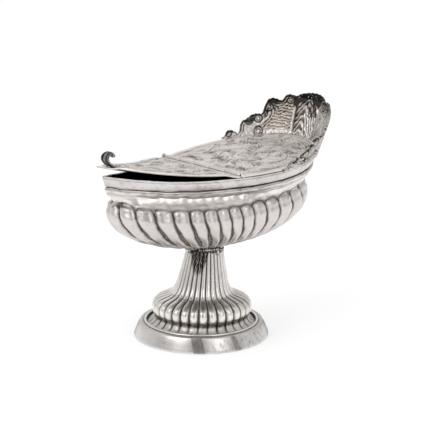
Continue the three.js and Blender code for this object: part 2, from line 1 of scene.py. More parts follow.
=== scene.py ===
import bpy
import math
import numpy as np
from functools import partial
from mathutils import Matrix, Vector


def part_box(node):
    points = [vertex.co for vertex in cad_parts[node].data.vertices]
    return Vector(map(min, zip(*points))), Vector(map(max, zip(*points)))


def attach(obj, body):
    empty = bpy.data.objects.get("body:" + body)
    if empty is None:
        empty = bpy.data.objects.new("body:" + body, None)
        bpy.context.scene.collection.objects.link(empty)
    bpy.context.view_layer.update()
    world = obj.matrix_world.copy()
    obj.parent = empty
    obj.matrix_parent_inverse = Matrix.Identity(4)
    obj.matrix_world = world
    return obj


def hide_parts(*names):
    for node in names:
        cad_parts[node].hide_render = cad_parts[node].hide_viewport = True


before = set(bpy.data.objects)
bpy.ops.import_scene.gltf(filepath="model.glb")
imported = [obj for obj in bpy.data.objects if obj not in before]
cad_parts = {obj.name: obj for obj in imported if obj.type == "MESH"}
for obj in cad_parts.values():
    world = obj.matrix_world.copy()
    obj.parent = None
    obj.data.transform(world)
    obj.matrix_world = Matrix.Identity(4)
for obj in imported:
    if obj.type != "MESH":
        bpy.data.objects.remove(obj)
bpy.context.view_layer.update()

# Lengths are millimetres from the foot's axis on the floor; add_piece turns them into the frame's metres
MM = 0.001
band_low, band_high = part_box("base_band")
FOOT_X, FOOT_Y = ((band_low[k] + band_high[k]) / 2 / MM for k in (0, 1))


# Curves and fields that every part uses
def ease(x, low, high):
    """Smooth rise from 0 at low to 1 at high."""
    t = np.clip((np.asarray(x, float) - low) / (high - low), 0, 1)
    return t * t * (3 - 2 * t)


def fall(x, low, high):
    return 1 - ease(x, low, high)


def bell(x, middle, width):
    return np.exp(-((x - middle) / width) ** 2)


def valley(wave, gain):
    """Tone that a wave's low parts take."""
    return np.clip(-wave * gain, 0, 1)


def wavy(a, b, seed, scale):
    """Smooth uneven field of about -1 to 1 over two coordinates."""
    pick = np.random.default_rng(seed)
    total = 0
    for k in range(6):
        turn = pick.uniform(0, 2 * np.pi)
        f = pick.uniform(0.6, 1.8) / scale
        total = total + np.sin((a * math.cos(turn) + b * math.sin(turn)) * f * 2 * np.pi + pick.uniform(0, 7))
    return total / 3.2


def full_turn(sides):
    return np.linspace(0, 2 * np.pi, sides, endpoint=False)


# Materials
WARM = (0.98, 0.87, 0.77)
BUMP_HEIGHT = 0.0006


def feed(node, inputs):
    """Set a node's inputs; each is a number, a colour or another node's output."""
    for key, value in inputs.items():
        if isinstance(value, bpy.types.NodeSocket):
            node.id_data.links.new(value, node.inputs[key])
        else:
            node.inputs[key].default_value = value


def add_node(tree, kind, inputs, output=0, **settings):
    """New shader node's output."""
    node = tree.nodes.new("ShaderNode" + kind)
    for name, value in settings.items():
        setattr(node, name, value)
    feed(node, inputs)
    return node.outputs[output]


def math_node(tree, kind, a, b, clamp=False):
    return add_node(tree, "Math", {0: a, 1: b}, operation=kind, use_clamp=clamp)


def silver(name, bright, tarnish_and_shade, rough, patch, hammer, wear, hammer_scale=230.0):
    """Old silver; the mesh's wear attribute says how dark it is (red: tarnished, and in places painted shade,
    painted highlights and painted reflections), how stippled (green) and how warm (blue).
    """
    mat = bpy.data.materials.new(name)
    mat.use_nodes = True
    tree = mat.node_tree
    add, times = partial(math_node, tree, "ADD"), partial(math_node, tree, "MULTIPLY")
    place = add_node(tree, "TexCoord", {}, "Object")

    def noise(scale, detail, distortion=0.0):
        inputs = {"Vector": place, "Scale": scale, "Detail": detail, "Distortion": distortion}
        return add_node(tree, "TexNoise", inputs, "Fac")

    def ramp(value, low, high):
        return add_node(tree, "MapRange", {"Value": value, "From Min": low, "From Max": high}, "Result")

    def mix_color(factor, a, b):
        return add_node(tree, "Mix", {"Factor": factor, "A": a, "B": b}, "Result", data_type="RGBA")

    wear_color = add_node(tree, "Attribute", {}, "Color", attribute_name="wear")
    dark, matte, warm = add_node(tree, "SeparateColor", {0: wear_color}).node.outputs
    broad = ramp(noise(38.0, 3.0, 0.6), 0.42, 0.72)
    speck = ramp(noise(420.0, 4.0), 0.52, 0.78)
    spots = add(times(broad, patch), times(speck, patch * 0.7))
    spots = add(spots, times(times(speck, matte), 0.55))
    broken = add(0.7, times(noise(300.0, 3.0), 0.6))
    total = add(times(dark, broken), spots, clamp=True)
    warmed = [part * share for part, share in zip(bright, WARM)]
    base = mix_color(warm, (*bright, 1), (*warmed, 1))
    scratched = times(noise(900.0, 2.0, 2.0), wear)
    roughness = add(add(times(total, 0.3), scratched), times(matte, 0.22))

    cell_inputs = {"Vector": place, "Scale": hammer_scale, "Smoothness": 1.0}
    cells = add_node(tree, "TexVoronoi", cell_inputs, "Distance", feature="SMOOTH_F1")
    fine, slow = times(noise(1100.0, 3.0), 0.22), times(noise(120.0, 2.0), 0.9)
    punched = times(times(noise(760.0, 2.0), matte), 2.2)
    height = add(add(add(cells, fine), slow), punched)
    bump = add_node(tree, "Bump", {"Strength": hammer, "Distance": BUMP_HEIGHT, "Height": height}, "Normal")
    # The dark colour serves tarnished places and also painted shade.
    feed(tree.nodes["Principled BSDF"], {
        "Metallic": 1.0, "Base Color": mix_color(total, base, (*tarnish_and_shade, 1)),
        "Roughness": add(roughness, rough - wear * 0.5, clamp=True), "Normal": bump})
    return mat


POLISHED = silver("polished_silver", (0.60, 0.575, 0.56), (0.16, 0.145, 0.135),
                  rough=0.26, patch=0.20, hammer=0.16, wear=0.12, hammer_scale=150.0)
CHASED = silver("chased_silver", (0.71, 0.68, 0.655), (0.050, 0.042, 0.036),
                rough=0.27, patch=0.16, hammer=0.35, wear=0.14)
HULL = silver("hull_silver", (0.72, 0.685, 0.665), (0.085, 0.07, 0.06),
              rough=0.28, patch=0.12, hammer=0.38, wear=0.14)
ENGRAVED = silver("engraved_silver", (0.78, 0.745, 0.72), (0.15, 0.135, 0.125),
                  rough=0.30, patch=0.14, hammer=0.4, wear=0.16)
AGED = silver("aged_silver", (0.42, 0.40, 0.38), (0.010, 0.009, 0.008),
              rough=0.28, patch=0.30, hammer=0.35, wear=0.16)
SOLDER = silver("solder_grey", (0.56, 0.53, 0.51), (0.012, 0.010, 0.009),
                rough=0.36, patch=0.3, hammer=0.6, wear=0.2, hammer_scale=500.0)
# Near-black inside of the hull: painted shade, not the silver's own colour.
PAINTED_SHADE_LINING = silver("hull_lining_painted_shade", (0.03, 0.028, 0.026), (0.006, 0.005, 0.005),
                rough=0.6, patch=0.4, hammer=0.3, wear=0.2)


# Mesh making
def add_piece(name, node, points, faces, material, slot, body="boat", dark=0, sharp=None, matte=0, warm=0):
    """Smooth mesh in place of a CAD node, with its wear attribute: how dark (tarnished, and in places painted
    shade, highlight and reflection), matte and warm each point is.
    """
    mesh = bpy.data.meshes.new(name)
    verts = np.asarray(points, float).reshape(-1, 3) * MM + np.array([FOOT_X * MM, FOOT_Y * MM, 0])
    mesh.from_pydata(verts.tolist(), [], faces)
    mesh.materials.append(material)
    mesh.polygons.foreach_set("use_smooth", np.ones(len(mesh.polygons), bool))
    if sharp is not None:
        mesh.set_sharp_from_angle(angle=math.radians(sharp))
    layer = mesh.color_attributes.new("wear", "FLOAT_COLOR", "POINT")
    shape = np.shape(points)[:-1]
    parts = [np.broadcast_to(np.clip(part, 0, 1), shape).reshape(-1) for part in (dark, matte, warm, 1)]
    layer.data.foreach_set("color", np.stack(parts, -1).reshape(-1).astype(float))
    mesh.update()
    piece = bpy.data.objects.new(name, mesh)
    bpy.context.scene.collection.objects.link(piece)
    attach(piece, body)
    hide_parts(node)
    return piece


def ring_faces(P, closed=True):
    """Quads between neighbouring rings of points; closed joins the last ring to the first."""
    rows, cols = P.shape[:2]
    i = np.arange(rows if closed else rows - 1)[:, None]
    j = np.arange(cols)[None]
    lower, beside = (i + 1) % rows, (j + 1) % cols
    corners = [i * cols + j, lower * cols + j, lower * cols + beside, i * cols + beside]
    return np.stack(corners, -1).reshape(-1, 4).tolist()


def capped_faces(P):
    """Faces of a run of rings with a flat face on each end."""
    rows, cols = P.shape[:2]
    last = (rows - 1) * cols
    return ring_faces(P, False) + [list(range(cols))[::-1], list(range(last, last + cols))]


def shell_faces(P):
    """Faces of a thin shell whose rings run along its front and back along its rear."""
    rows, cols = P.shape[:2]
    last = (rows - 1) * cols
    faces = ring_faces(P, False)
    for k in range(cols // 2 - 1):
        faces.append([k + 1, cols - 2 - k, cols - 1 - k, k])
        faces.append([last + k, last + cols - 1 - k, last + cols - 2 - k, last + k + 1])
    return faces


def around_z(r, z, angle, middle=0):
    """Points at a radius and a height round an upright axis, moved aft by middle."""
    r, z, angle = np.broadcast_arrays(r, z, angle)
    return np.stack([middle + r * np.cos(angle), r * np.sin(angle), z], -1)


def spun(name, node, section, material, slot, sides, wobble, dark, sharp=40, stain_and_reflection=None):
    """Closed (radius, height) section turned about the foot's axis, a little uneven."""
    section = np.asarray(section, float)
    angle = full_turn(sides)
    uneven = np.sin(3 * angle + 0.4) + 0.6 * np.sin(7 * angle + 2) + 0.4 * np.sin(13 * angle)
    P = around_z(section[:, :1] + wobble * uneven, section[:, 1:], angle)
    tone = np.asarray(dark, float)[:, None]
    if stain_and_reflection is not None:
        tone = tone + stain_and_reflection(np.degrees(angle)[None], section[:, 1:])
    add_piece(name, node, P, ring_faces(P), material, slot, dark=tone, sharp=sharp)


def smooth_rows(rows, steps):
    """Rows of points with smooth rows put between them, and each row's place among the given ones."""
    rows = np.asarray(rows, float)
    gap = np.linalg.norm(np.diff(rows, axis=0), axis=-1).mean(-1)
    d = np.diff(np.concatenate([[0], np.cumsum(np.maximum(gap, 1e-6))]))
    step = np.diff(rows, axis=0) / d[:, None, None]
    slope = np.empty_like(rows)
    slope[0], slope[-1] = step[0], step[-1]
    for k in range(1, len(rows) - 1):
        slope[k] = (step[k] * d[k - 1] + step[k - 1] * d[k]) / (d[k] + d[k - 1])
    out, place = [], []
    for k in range(len(rows) - 1):
        n = steps[k] if isinstance(steps, (list, tuple)) else steps
        for u in np.arange(n) / n:
            a, b, c = 2 * u**3 - 3 * u**2 + 1, u**3 - 2 * u**2 + u, u**3 - u**2
            out.append(a * rows[k] + b * d[k] * slope[k] + (1 - a) * rows[k + 1] + c * d[k] * slope[k + 1])
            place.append(k + u)
    out.append(rows[-1])
    place.append(len(rows) - 1)
    return np.array(out), np.array(place)


def normals_of(P):
    """Unit normals of rings of points."""
    n = np.cross(np.roll(P, -1, 1) - np.roll(P, 1, 1), np.gradient(P, axis=0))
    return n / (np.linalg.norm(n, axis=-1, keepdims=True) + 1e-9)


# Hull plan, the same as the solids'
RIM = dict(widest=34, bow=115.9, stern=54.4, half=45.7,
           bow_fill=1.45, bow_round=0.9, stern_fill=2.2, stern_round=0.5)
BELLY = dict(widest=21, bow=93.2, stern=61.6, half=46.3,
             bow_fill=2.15, bow_round=0.5, stern_fill=2.15, stern_round=0.5)
PLAN_STEPS = 3001
SHEER_LOW_X = -13
RIM_HEIGHT = 113.2
BOW_SHEER, STERN_SHEER = 7.3, 8.5
BOW_REACH = SHEER_LOW_X - RIM["widest"] + RIM["bow"]
STERN_REACH = RIM["widest"] + RIM["stern"] - SHEER_LOW_X
BELLY_HEIGHT, BELLY_DEPTH = 88.4, 24.2
BELLY_SHEER_SHARE = 0.87
BELLY_FULLNESS, BELLY_ROUNDNESS = 2.2, 2.19
BELLY_FLOOR_SCALE = 0.22
STEM_LEAN = 2.9
LOBE_CROWDING, LOBE_STERN_SPREAD = 0.0222, 0.0284
LOBE_SWIRL, LOBE_SWIRL_LEAN = 0.015, 0.35


def half_at(plan, x):
    """Half the plan's width at a place along the boat."""
    local = np.asarray(x, float) - plan["widest"]
    bow = np.clip(-local / plan["bow"], 0, 1)
    stern = np.clip(local / plan["stern"], 0, 1)
    return plan["half"] * np.where(local < 0, (1 - bow ** plan["bow_fill"]) ** plan["bow_round"],
                                   (1 - stern ** plan["stern_fill"]) ** plan["stern_round"])


def inset(plan, d):
    return {**plan, "bow": plan["bow"] - d, "stern": plan["stern"] - d, "half": plan["half"] - d}


def plan_points(plan, shares):
    """Points at shares of the way round a plan, from the bow along the near side."""
    c = -np.cos(np.linspace(0, np.pi, PLAN_STEPS))
    x = plan["widest"] + np.where(c > 0, plan["stern"], plan["bow"]) * c
    y = half_at(plan, x)
    length = np.concatenate([[0], np.cumsum(np.hypot(np.diff(x), np.diff(y)))])
    turn = np.asarray(shares) % 1
    far = turn > 0.5
    want = np.where(far, 1 - turn, turn) * 2 * length[-1]
    return np.interp(want, length, x), np.where(far, 1, -1) * np.interp(want, length, y)


def sheer(x):
    """Height of the rim, which rises toward both ends."""
    along = np.asarray(x, float) - SHEER_LOW_X
    rise = np.where(along < 0, BOW_SHEER * (along / BOW_REACH) ** 2, STERN_SHEER * (along / STERN_REACH) ** 2)
    return RIM_HEIGHT + rise


def lobe_share(t):
    return t + LOBE_CROWDING * np.sin(4 * np.pi * t) - LOBE_STERN_SPREAD * np.sin(2 * np.pi * t)


def turned_by(shares, swirl):
    return shares + LOBE_SWIRL * swirl * (LOBE_SWIRL_LEAN + np.cos(2 * np.pi * shares))


def rim_ring(d, drop, shares):
    x, y = plan_points(inset(RIM, d), shares)
    return np.stack([x, y, sheer(x) - drop], -1)


def belly_ring(depth, shares, d=0.0, narrow=1.0, swirl=0.0, lift=0.0):
    """Ring of the belly: depth 0 is its widest, and 1 is its floor."""
    x, y = plan_points(inset(BELLY, d), turned_by(shares, swirl))
    curve = (1 - max(depth, 0) ** BELLY_FULLNESS) ** (1 / BELLY_ROUNDNESS)
    scale = (BELLY_FLOOR_SCALE + (1 - BELLY_FLOOR_SCALE) * curve) * narrow
    rise = BELLY_SHEER_SHARE * (sheer(x) - RIM_HEIGHT) * curve
    return np.stack([x * scale, y * scale, BELLY_HEIGHT - BELLY_DEPTH * depth + rise + lift], -1)


def floor_ring(radius, height, shares, swirl=0.0):
    return around_z(radius, height, np.pi + turned_by(shares, swirl) * 2 * np.pi, STEM_LEAN)


# Hull with its chased lobes
LOBES, LOBE_COLS = 32, 18
LOBE_SHIFT = 0.25
HEAD_LENGTH = 4.6
NECK_INSET, NECK_DROP, NECK_FOOT_DROP = 4.4, 12.6, 16.2
NECK_SWIRL = -0.5
BELLY_DEPTHS = (-0.2, -0.1, 0.0, 0.12, 0.25, 0.38, 0.5, 0.6, 0.7, 0.79, 0.86, 0.92, 0.965, 0.99)
HULL_STEPS = [3, 4, 5, 5, 8, 7, 7, 6, 5, 5, 5, 4, 4, 4, 4, 3, 3, 3, 3, 4, 1]
SHOULDER_ROW = 5
LINING_BELLY = ((0.0, 0.97, 0), (0.25, 1, 0.8), (0.5, 1, 1.6), (0.7, 1, 2.18), (0.84, 1, 2.586))
BOW_CHECK_ROW = 30
lobe_turn = np.arange(LOBES * LOBE_COLS) / (LOBES * LOBE_COLS)
shares = lobe_share(lobe_turn)
lobe_phase = (lobe_turn * LOBES - LOBE_SHIFT) % 1
lobe_no = np.floor(lobe_turn * LOBES - LOBE_SHIFT).astype(int) % LOBES


def outer_wall():
    """Smooth outer wall from the rim to the stem, before its lobes are pressed."""
    above = turned_by(shares, NECK_SWIRL)

    def neck_ring(belly_part, d, drop, depth, narrow):
        belly = belly_ring(depth, shares, narrow=narrow, swirl=NECK_SWIRL)
        return (1 - belly_part) * rim_ring(d, drop, above) + belly_part * belly

    controls = [rim_ring(1.7, 0.2, above), rim_ring(3.7, 6.6, above), rim_ring(NECK_INSET - 0.5, 9.3, above),
                neck_ring(0.1, NECK_INSET, NECK_DROP, -0.4, 0.95),
                neck_ring(0.5, NECK_INSET + 0.2, NECK_FOOT_DROP, -0.33, 0.935),
                belly_ring(-0.29, shares, 0.9, narrow=0.955, swirl=NECK_SWIRL)]
    for depth in BELLY_DEPTHS:
        narrow = 0.975 + 0.025 * ease(depth, -0.2, 0)
        controls.append(belly_ring(depth, shares, narrow=narrow, swirl=1.163 * depth - 0.163))
    controls += [floor_ring(12.6, 61.5, shares, 1.0), floor_ring(9.0, 61.4, shares, 1.0)]
    return smooth_rows(controls, HULL_STEPS)


def lining_rows():
    """Inner wall, from the rim down to the hull's floor."""
    neck = 0.5 * rim_ring(9.2, NECK_FOOT_DROP, shares) + 0.5 * belly_ring(-0.33, shares, 4.8, 0.92)
    top = [rim_ring(2.9, 0.2, shares), rim_ring(5.6, 9.3, shares)]
    rows = top + [neck, belly_ring(-0.12, shares, 4.2, 0.95)]
    for depth, narrow, lift in LINING_BELLY:
        rows.append(belly_ring(depth, shares, 3.6, narrow, 0.0, lift))
    rows += [floor_ring(12.5, 66.3, shares), floor_ring(0.5, 66.2, shares)]
    return smooth_rows(rows, 4)[0]


def chasing(row, run):
    """How far the hull's skin is pressed in at each place, how dark it is and how stippled."""
    middle = (lobe_no + 1 - LOBE_SHIFT) / LOBES % 1
    from_bow = np.minimum(middle, 1 - middle)
    pick = np.random.default_rng(3)
    head = -1.3 - 2.6 * ease(from_bow, 0.05, 0.10) + 0.5 * ease(from_bow, 0.13, 0.18)
    head = head + 0.9 * ease(from_bow, 0.26, 0.36) + pick.uniform(-0.35, 0.35, LOBES)[lobe_no]
    wide = pick.uniform(0.87, 0.93, LOBES)[lobe_no] - 0.27 * ease(run, 7, 32)
    wide = wide + 0.016 * wavy(run, 40.0 * lobe_no, 12, 6)
    side = (2 * lobe_phase - 1 + 0.04 * np.sin(run * 0.5 + lobe_no)) / wide
    down = run - head
    # 0 along a lobe's middle and 1 on its outline, which is round at the head
    reach = np.hypot(side, np.clip((HEAD_LENGTH - down) / HEAD_LENGTH, 0, None))
    inside = np.clip(1 - reach ** 2.3, 0, 1) ** 0.52
    fine_turn, slow_turn = lobe_turn * 440, lobe_turn * 44

    near_heads = ease(down, -2.4, -0.8)
    ground = (0.9 * ease(down, -4.0, -0.2) + 1.3 * ease(down, 0, 6)) * (0.35 + 0.65 * fall(row, 18.3, 20.0))
    press = ground * (1 - inside) - 0.30 * inside * bell(down, 3.8, 2.2)
    press -= 0.22 * bell(down, 4.2, 1.3) * bell(side, -0.12, 0.3)
    streak = wavy(run, slow_turn, 18, 2.4)
    lumps = wavy(run, fine_turn, 11, 12)
    stippled = ease(row, 1.9, 2.4) * fall(1.04 - reach, 0, 0.08)
    drawn = bell(row, 3.5 + 0.15 * wavy(0, slow_turn, 19, 9), 0.14)
    ring = bell(reach, 1.27, 0.06) * (down < 2.5) * ease(wavy(0, 9.0 * lobe_no, 20, 7), -0.4, 0.3)
    grain = 0.10 * wavy(run, fine_turn, 13, 1.3) + 0.06 * wavy(run, fine_turn, 14, 0.8)
    press += 0.10 * lumps + 0.16 * lumps * stippled + 0.08 * streak * (1 - near_heads) * stippled
    press += stippled * near_heads * grain + 0.14 * ring + 0.22 * drawn

    edge_line = bell(reach, 1.04, 0.085 + 0.10 * fall(down, 2, 6))
    floor_line = ease(reach, 1.0, 1.1) * ease(down, 1.5, 5)
    tone = 0.80 * edge_line * (0.7 + 0.3 * ease(down, 4, 12)) + 0.38 * floor_line + 0.34 * ring
    tone += (0.14 * ease(streak, 0.35, 0.9) + 0.2 * drawn * ease(streak, -0.5, 0.5)) * (1 - near_heads)
    tone += 0.14 * near_heads * stippled * ease(wavy(run, fine_turn, 15, 1.1), -0.1, 0.7)
    # The second term is painted shade on the hull's underside next to the stem, the third a painted shade
    # line behind the moulding.
    tone += 0.25 * ease(down, -0.6, 0.8) + 0.35 * ease(row, 17.8, 20.5) + 0.30 * bell(row, 1.9, 0.22)
    # Painted reflection: a slanting dark mark below the heads of two lobes in three.
    tone += 0.42 * bell(down + 3.5 * side, 6.0, 0.7) * bell(side, 0.25, 0.3) * (lobe_no % 3 > 0)
    matte = (0.08 + 0.12 * near_heads) * stippled + 0.5 * floor_line
    return press, tone, matte


def chased_hull():
    hull, place = outer_wall()
    out = normals_of(hull)
    # At the bow the outward normal points to -x
    if out[BOW_CHECK_ROW, 0, 0] > 0:
        out = -out
    run = np.cumsum(np.linalg.norm(np.diff(hull, axis=0), axis=-1), axis=0)
    run = np.concatenate([np.zeros((1, len(shares))), run])
    run = run - run[np.argmin(np.abs(place - SHOULDER_ROW))]
    press, tone, matte = chasing(place[:, None] + 0 * run, run)
    hull = hull - out * press[..., None]
    lining = lining_rows()
    P = np.concatenate([lining[::-1], hull])
    # The inner wall is painted fully dark, as shade.
    tone = np.concatenate([np.ones(lining.shape[:2]), tone])
    matte = np.concatenate([np.zeros(lining.shape[:2]), matte])
    piece = add_piece("hull_chased", "hull_bowl", P, ring_faces(P, False), HULL, "silver_chased",
                      dark=tone, matte=matte, warm=0.7 * matte)
    piece.data.materials.append(PAINTED_SHADE_LINING)
    which = np.zeros(len(piece.data.polygons), int)
    which[: (len(lining) - 1) * len(shares)] = 1
    piece.data.polygons.foreach_set("material_index", which)


chased_hull()


# Rim band and the moulding under it, as closed sections of (inset, drop, tone). The tone is painted shade
# under the band and in the moulding's grooves and on its back, except the engraved line near the band's top.
BAND_SECTION = [(1.4, 0.1, 0.1), (0.5, 0.0, 0), (0.12, 0.18, 0), (0.0, 0.55, 0), (0.12, 1.2, 0),
                (0.34, 1.42, 0.55), (0.2, 1.65, 0), (0.75, 3.4, 0), (1.5, 5.2, 0), (1.95, 6.0, 0.1),
                (2.15, 6.45, 0.4), (2.6, 6.6, 0.8), (3.4, 6.6, 1)]
MOULDING_SECTION = [(3.3, 7.0, 0.9), (2.5, 7.2, 0.45), (1.9, 7.7, 0.15), (1.9, 8.4, 0.5), (2.0, 9.3, 0.02),
                    (2.5, 10.1, 0), (3.0, 10.7, 0.1), (3.35, 11.3, 0.34), (3.6, 12.0, 0.04), (4.0, 12.8, 0),
                    (4.6, 13.0, 0.2), (4.6, 11.4, 0.8), (4.1, 9.6, 1)]
RIM_SIDES = 720
RIM_LENGTH = 300


def rim_loop(name, node, section, material, bend_by, seed):
    """Section taken round the rim, a little uneven."""
    turn = np.arange(RIM_SIDES) / RIM_SIDES
    P = np.array([rim_ring(d, drop, turn) for d, drop, _ in section])
    around, up_down = np.meshgrid(turn * RIM_LENGTH, np.arange(len(section)) * 2.0)
    P[..., 2] += 0.12 * wavy(around, 0, 5, 40) + bend_by * wavy(around, 0, seed, 14)
    P[..., :2] *= 1 + 0.0012 * wavy(around, up_down, seed + 1, 9)[..., None]
    tone = np.array([t for *_, t in section])[:, None] + 0.10
    tone = tone + 0.22 * ease(wavy(around, up_down, seed + 2, 8), 0.2, 1)
    matte = 0.25 * ease(wavy(around, up_down, seed + 3, 12), 0, 1)
    add_piece(name, node, P, ring_faces(P), material, "silver_polished", dark=tone, sharp=50, matte=matte)


rim_loop("rim_band_rolled", "rim_band", BAND_SECTION, POLISHED, 0.04, 8)
rim_loop("rim_moulding_drawn", "rim_moulding", MOULDING_SECTION, HULL, 0.2, 21)


# Lines for engraving and chasing
def nearness(x, y, lines):
    """How far each place is from the nearest of a set of lines."""
    best = np.full(x.shape, 1e9)
    for line in lines:
        line = np.asarray(line, float)
        low, high = line.min(0) - 2, line.max(0) + 2
        near = (x > low[0]) & (x < high[0]) & (y > low[1]) & (y < high[1])
        if not near.any():
            continue
        q = np.stack([x[near], y[near]], -1)
        d2 = np.full(len(q), 1e9)
        for a, b in zip(line[:-1], line[1:]):
            ab = b - a
            t = np.clip(((q - a) @ ab) / max(ab @ ab, 1e-9), 0, 1)
            d2 = np.minimum(d2, ((q - a - t[:, None] * ab) ** 2).sum(-1))
        best[near] = np.minimum(best[near], np.sqrt(d2))
    return best


def spiral(cx, cy, radius, start, turns, hand=1, points=26, shrink=0.15):
    t = np.linspace(0, 1, points)
    r = radius * (1 - (1 - shrink) * t)
    a = math.radians(start) + hand * turns * 2 * np.pi * t
    return np.stack([cx + r * np.cos(a), cy + r * np.sin(a)], -1)


def bend(*knots, points=14):
    """Smooth line through knots."""
    knots = np.asarray(knots, float)[:, None, :]
    return smooth_rows(np.concatenate([knots, np.zeros_like(knots[..., :1])], -1), points)[0][:, 0, :2]


def dots_at(places, dx, dy=0.0):
    """Very short line at each place."""
    return [np.array([[x, y], [x + dx, y + dy]]) for x, y in places]


def placed(lines, x, y, degrees):
    """Lines turned and moved to a place."""
    c, s = math.cos(math.radians(degrees)), math.sin(math.radians(degrees))
    return [line @ np.array([[c, s], [-s, c]]) + np.array([x, y]) for line in lines]


def leaf(x, y, angle, length, width):
    """Engraved leaf: two curved sides and a midrib with veins."""
    t = np.linspace(0, 1, 12)
    side = width * np.sin(np.pi * t ** 0.8)
    lines = [np.stack([t * length, k * side], -1) for k in (1, -1, 0)]
    for u in (0.25, 0.42, 0.6, 0.76):
        tip = 0.75 * math.sin(math.pi * (u + 0.1) ** 0.8)
        lines += [np.array([[u * length, 0], [(u + 0.16) * length, k * width * tip]]) for k in (1, -1)]
    return placed(lines, x, y, angle)


def c_scroll(x, y, size, turn, hand=1):
    """C-scroll: an open curve with a curl at each end."""
    lines = [spiral(1.0, 0.55, 0.36, -90, 1.1, 1, 20), spiral(-1.0, 0.55, 0.36, -90, 1.1, -1, 20),
             bend((-1.0, 0.19), (-0.55, -0.12), (0, -0.22), (0.55, -0.12), (1.0, 0.19))]
    return placed([line * np.array([size, size * hand]) for line in lines], x, y, turn)


def border(offset, start, end):
    """Line along each side, a distance inside the rim; round the stern its points draw closer."""
    plan = inset(RIM, offset)
    widest = plan["widest"]
    x = np.linspace(max(start, widest - plan["bow"]), min(end, widest + plan["stern"]), 160)
    if x[-1] > 60:
        aft = x[-1] - widest
        x = np.where(x > widest, widest + aft * np.sin((x - widest) / aft * np.pi / 2), x)
    y = half_at(plan, x)
    return [np.stack([x, y], -1), np.stack([x, -y], -1)]


def both_sides(lines):
    return lines + [line * np.array([1, -1]) for line in lines]


def deck_engraving():
    """Flower in the middle, C-scrolls and leaves round it, two border lines."""
    half = c_scroll(38, 14.5, 11, 0, -1) + c_scroll(58, 10, 9, 60) + c_scroll(18, 10, 9, 115)
    half += c_scroll(66, 24, 8, 35, -1) + c_scroll(20, 26, 9, 150) + c_scroll(42, 29, 10, 178)
    half += c_scroll(76, 8, 6.5, 85)
    half += [bend((10, 3), (17, 5), (24, 2), (29, 6)), bend((50, 3), (57, 4), (64, 1.5), (72, 4))]
    for spot in [(38, 9, 90, 8, 2.6), (50, 6, 35, 9, 2.6), (26, 6, 150, 9, 2.6), (58, 20, 70, 9, 2.6),
                 (30, 20, 120, 9, 2.6), (12, 12, 100, 8, 2.0), (70, 14, 100, 9, 2.4), (52, 32, 20, 8, 2.0),
                 (12, 20, 80, 8, 2.2)]:
        half += leaf(*spot)
    petals = spiral(38, 0, 9, 0, 1, shrink=1.0, points=40) * np.array([1, 0.8])
    flower = [petals, spiral(38, 0, 4, 0, 1, shrink=1.0)]
    return border(4.6, 5.5, 88) + border(6.4, 6.5, 88) + flower + both_sides(half)


def lid_engraving():
    """C-scrolls and leaves that run toward the bow, two border lines."""
    half = c_scroll(-14, 9, 8.5, 95) + c_scroll(-20, 20, 8, 165, -1) + c_scroll(-34, 8, 8, 20)
    half += c_scroll(-50, 4.5, 6, 10)
    half += [bend((-8, 3), (-16, 2), (-24, 4), (-30, 2)), bend((-40, 2), (-48, 1), (-58, 3), (-66, 1))]
    for spot in [(-8, 14, 130, 8, 2.2), (-26, 10, 150, 9, 2.4), (-12, 27, 170, 9, 2.2),
                 (-36, 15, 175, 8, 1.8), (-58, 3, 170, 9, 1.7), (-42, 9, 185, 8, 1.8),
                 (-27, 21, 180, 8, 1.8)]:
        half += leaf(*spot)
    return border(4.2, -82, -3.5) + border(5.8, -78, -4.5) + both_sides(half)


# Deck and lid
SEAT_GAP, PLATE_SHEET = 0.3, 1.0
PIN_X = 1.0
PIN_Z = float(sheer(PIN_X)) + SEAT_GAP + 1.2
AJAR = math.radians(3.2)
EDGE_GAP = 1.45
DECK_END = 88.3
LID_OVERHANG = 5.2
LID_LIFT = 1.3
STROKE_PITCH, CUT_WIDTH = 2.6, 0.42
PLATE_ROWS, PLATE_COLS = 190, 150
DOTS = [(52, -30), (30, -37), (66, 22), (24, 33), (70, -20), (44, 36), (12, -33), (60, -12), (18, 3),
        (47, 6)]


def about_pin(P):
    """Closed-lid places turned up to the lid's rest place."""
    dx, dz = P[..., 0] - PIN_X, P[..., 2] - PIN_Z
    c, s = math.cos(AJAR), math.sin(AJAR)
    return np.stack([PIN_X + dx * c + dz * s, P[..., 1], PIN_Z - dx * s + dz * c], -1)


def lid_level(X, Y):
    """How much flatter than the rim the lid is, except near the hinge, the bow and the thumb strap."""
    beside_strap = 1 - ease(-X, 50, 64) * fall(np.abs(Y), 4.5, 8)
    return LID_LIFT * ease(-X, 1.5, 12) * fall(-X, 74, 82) * beside_strap


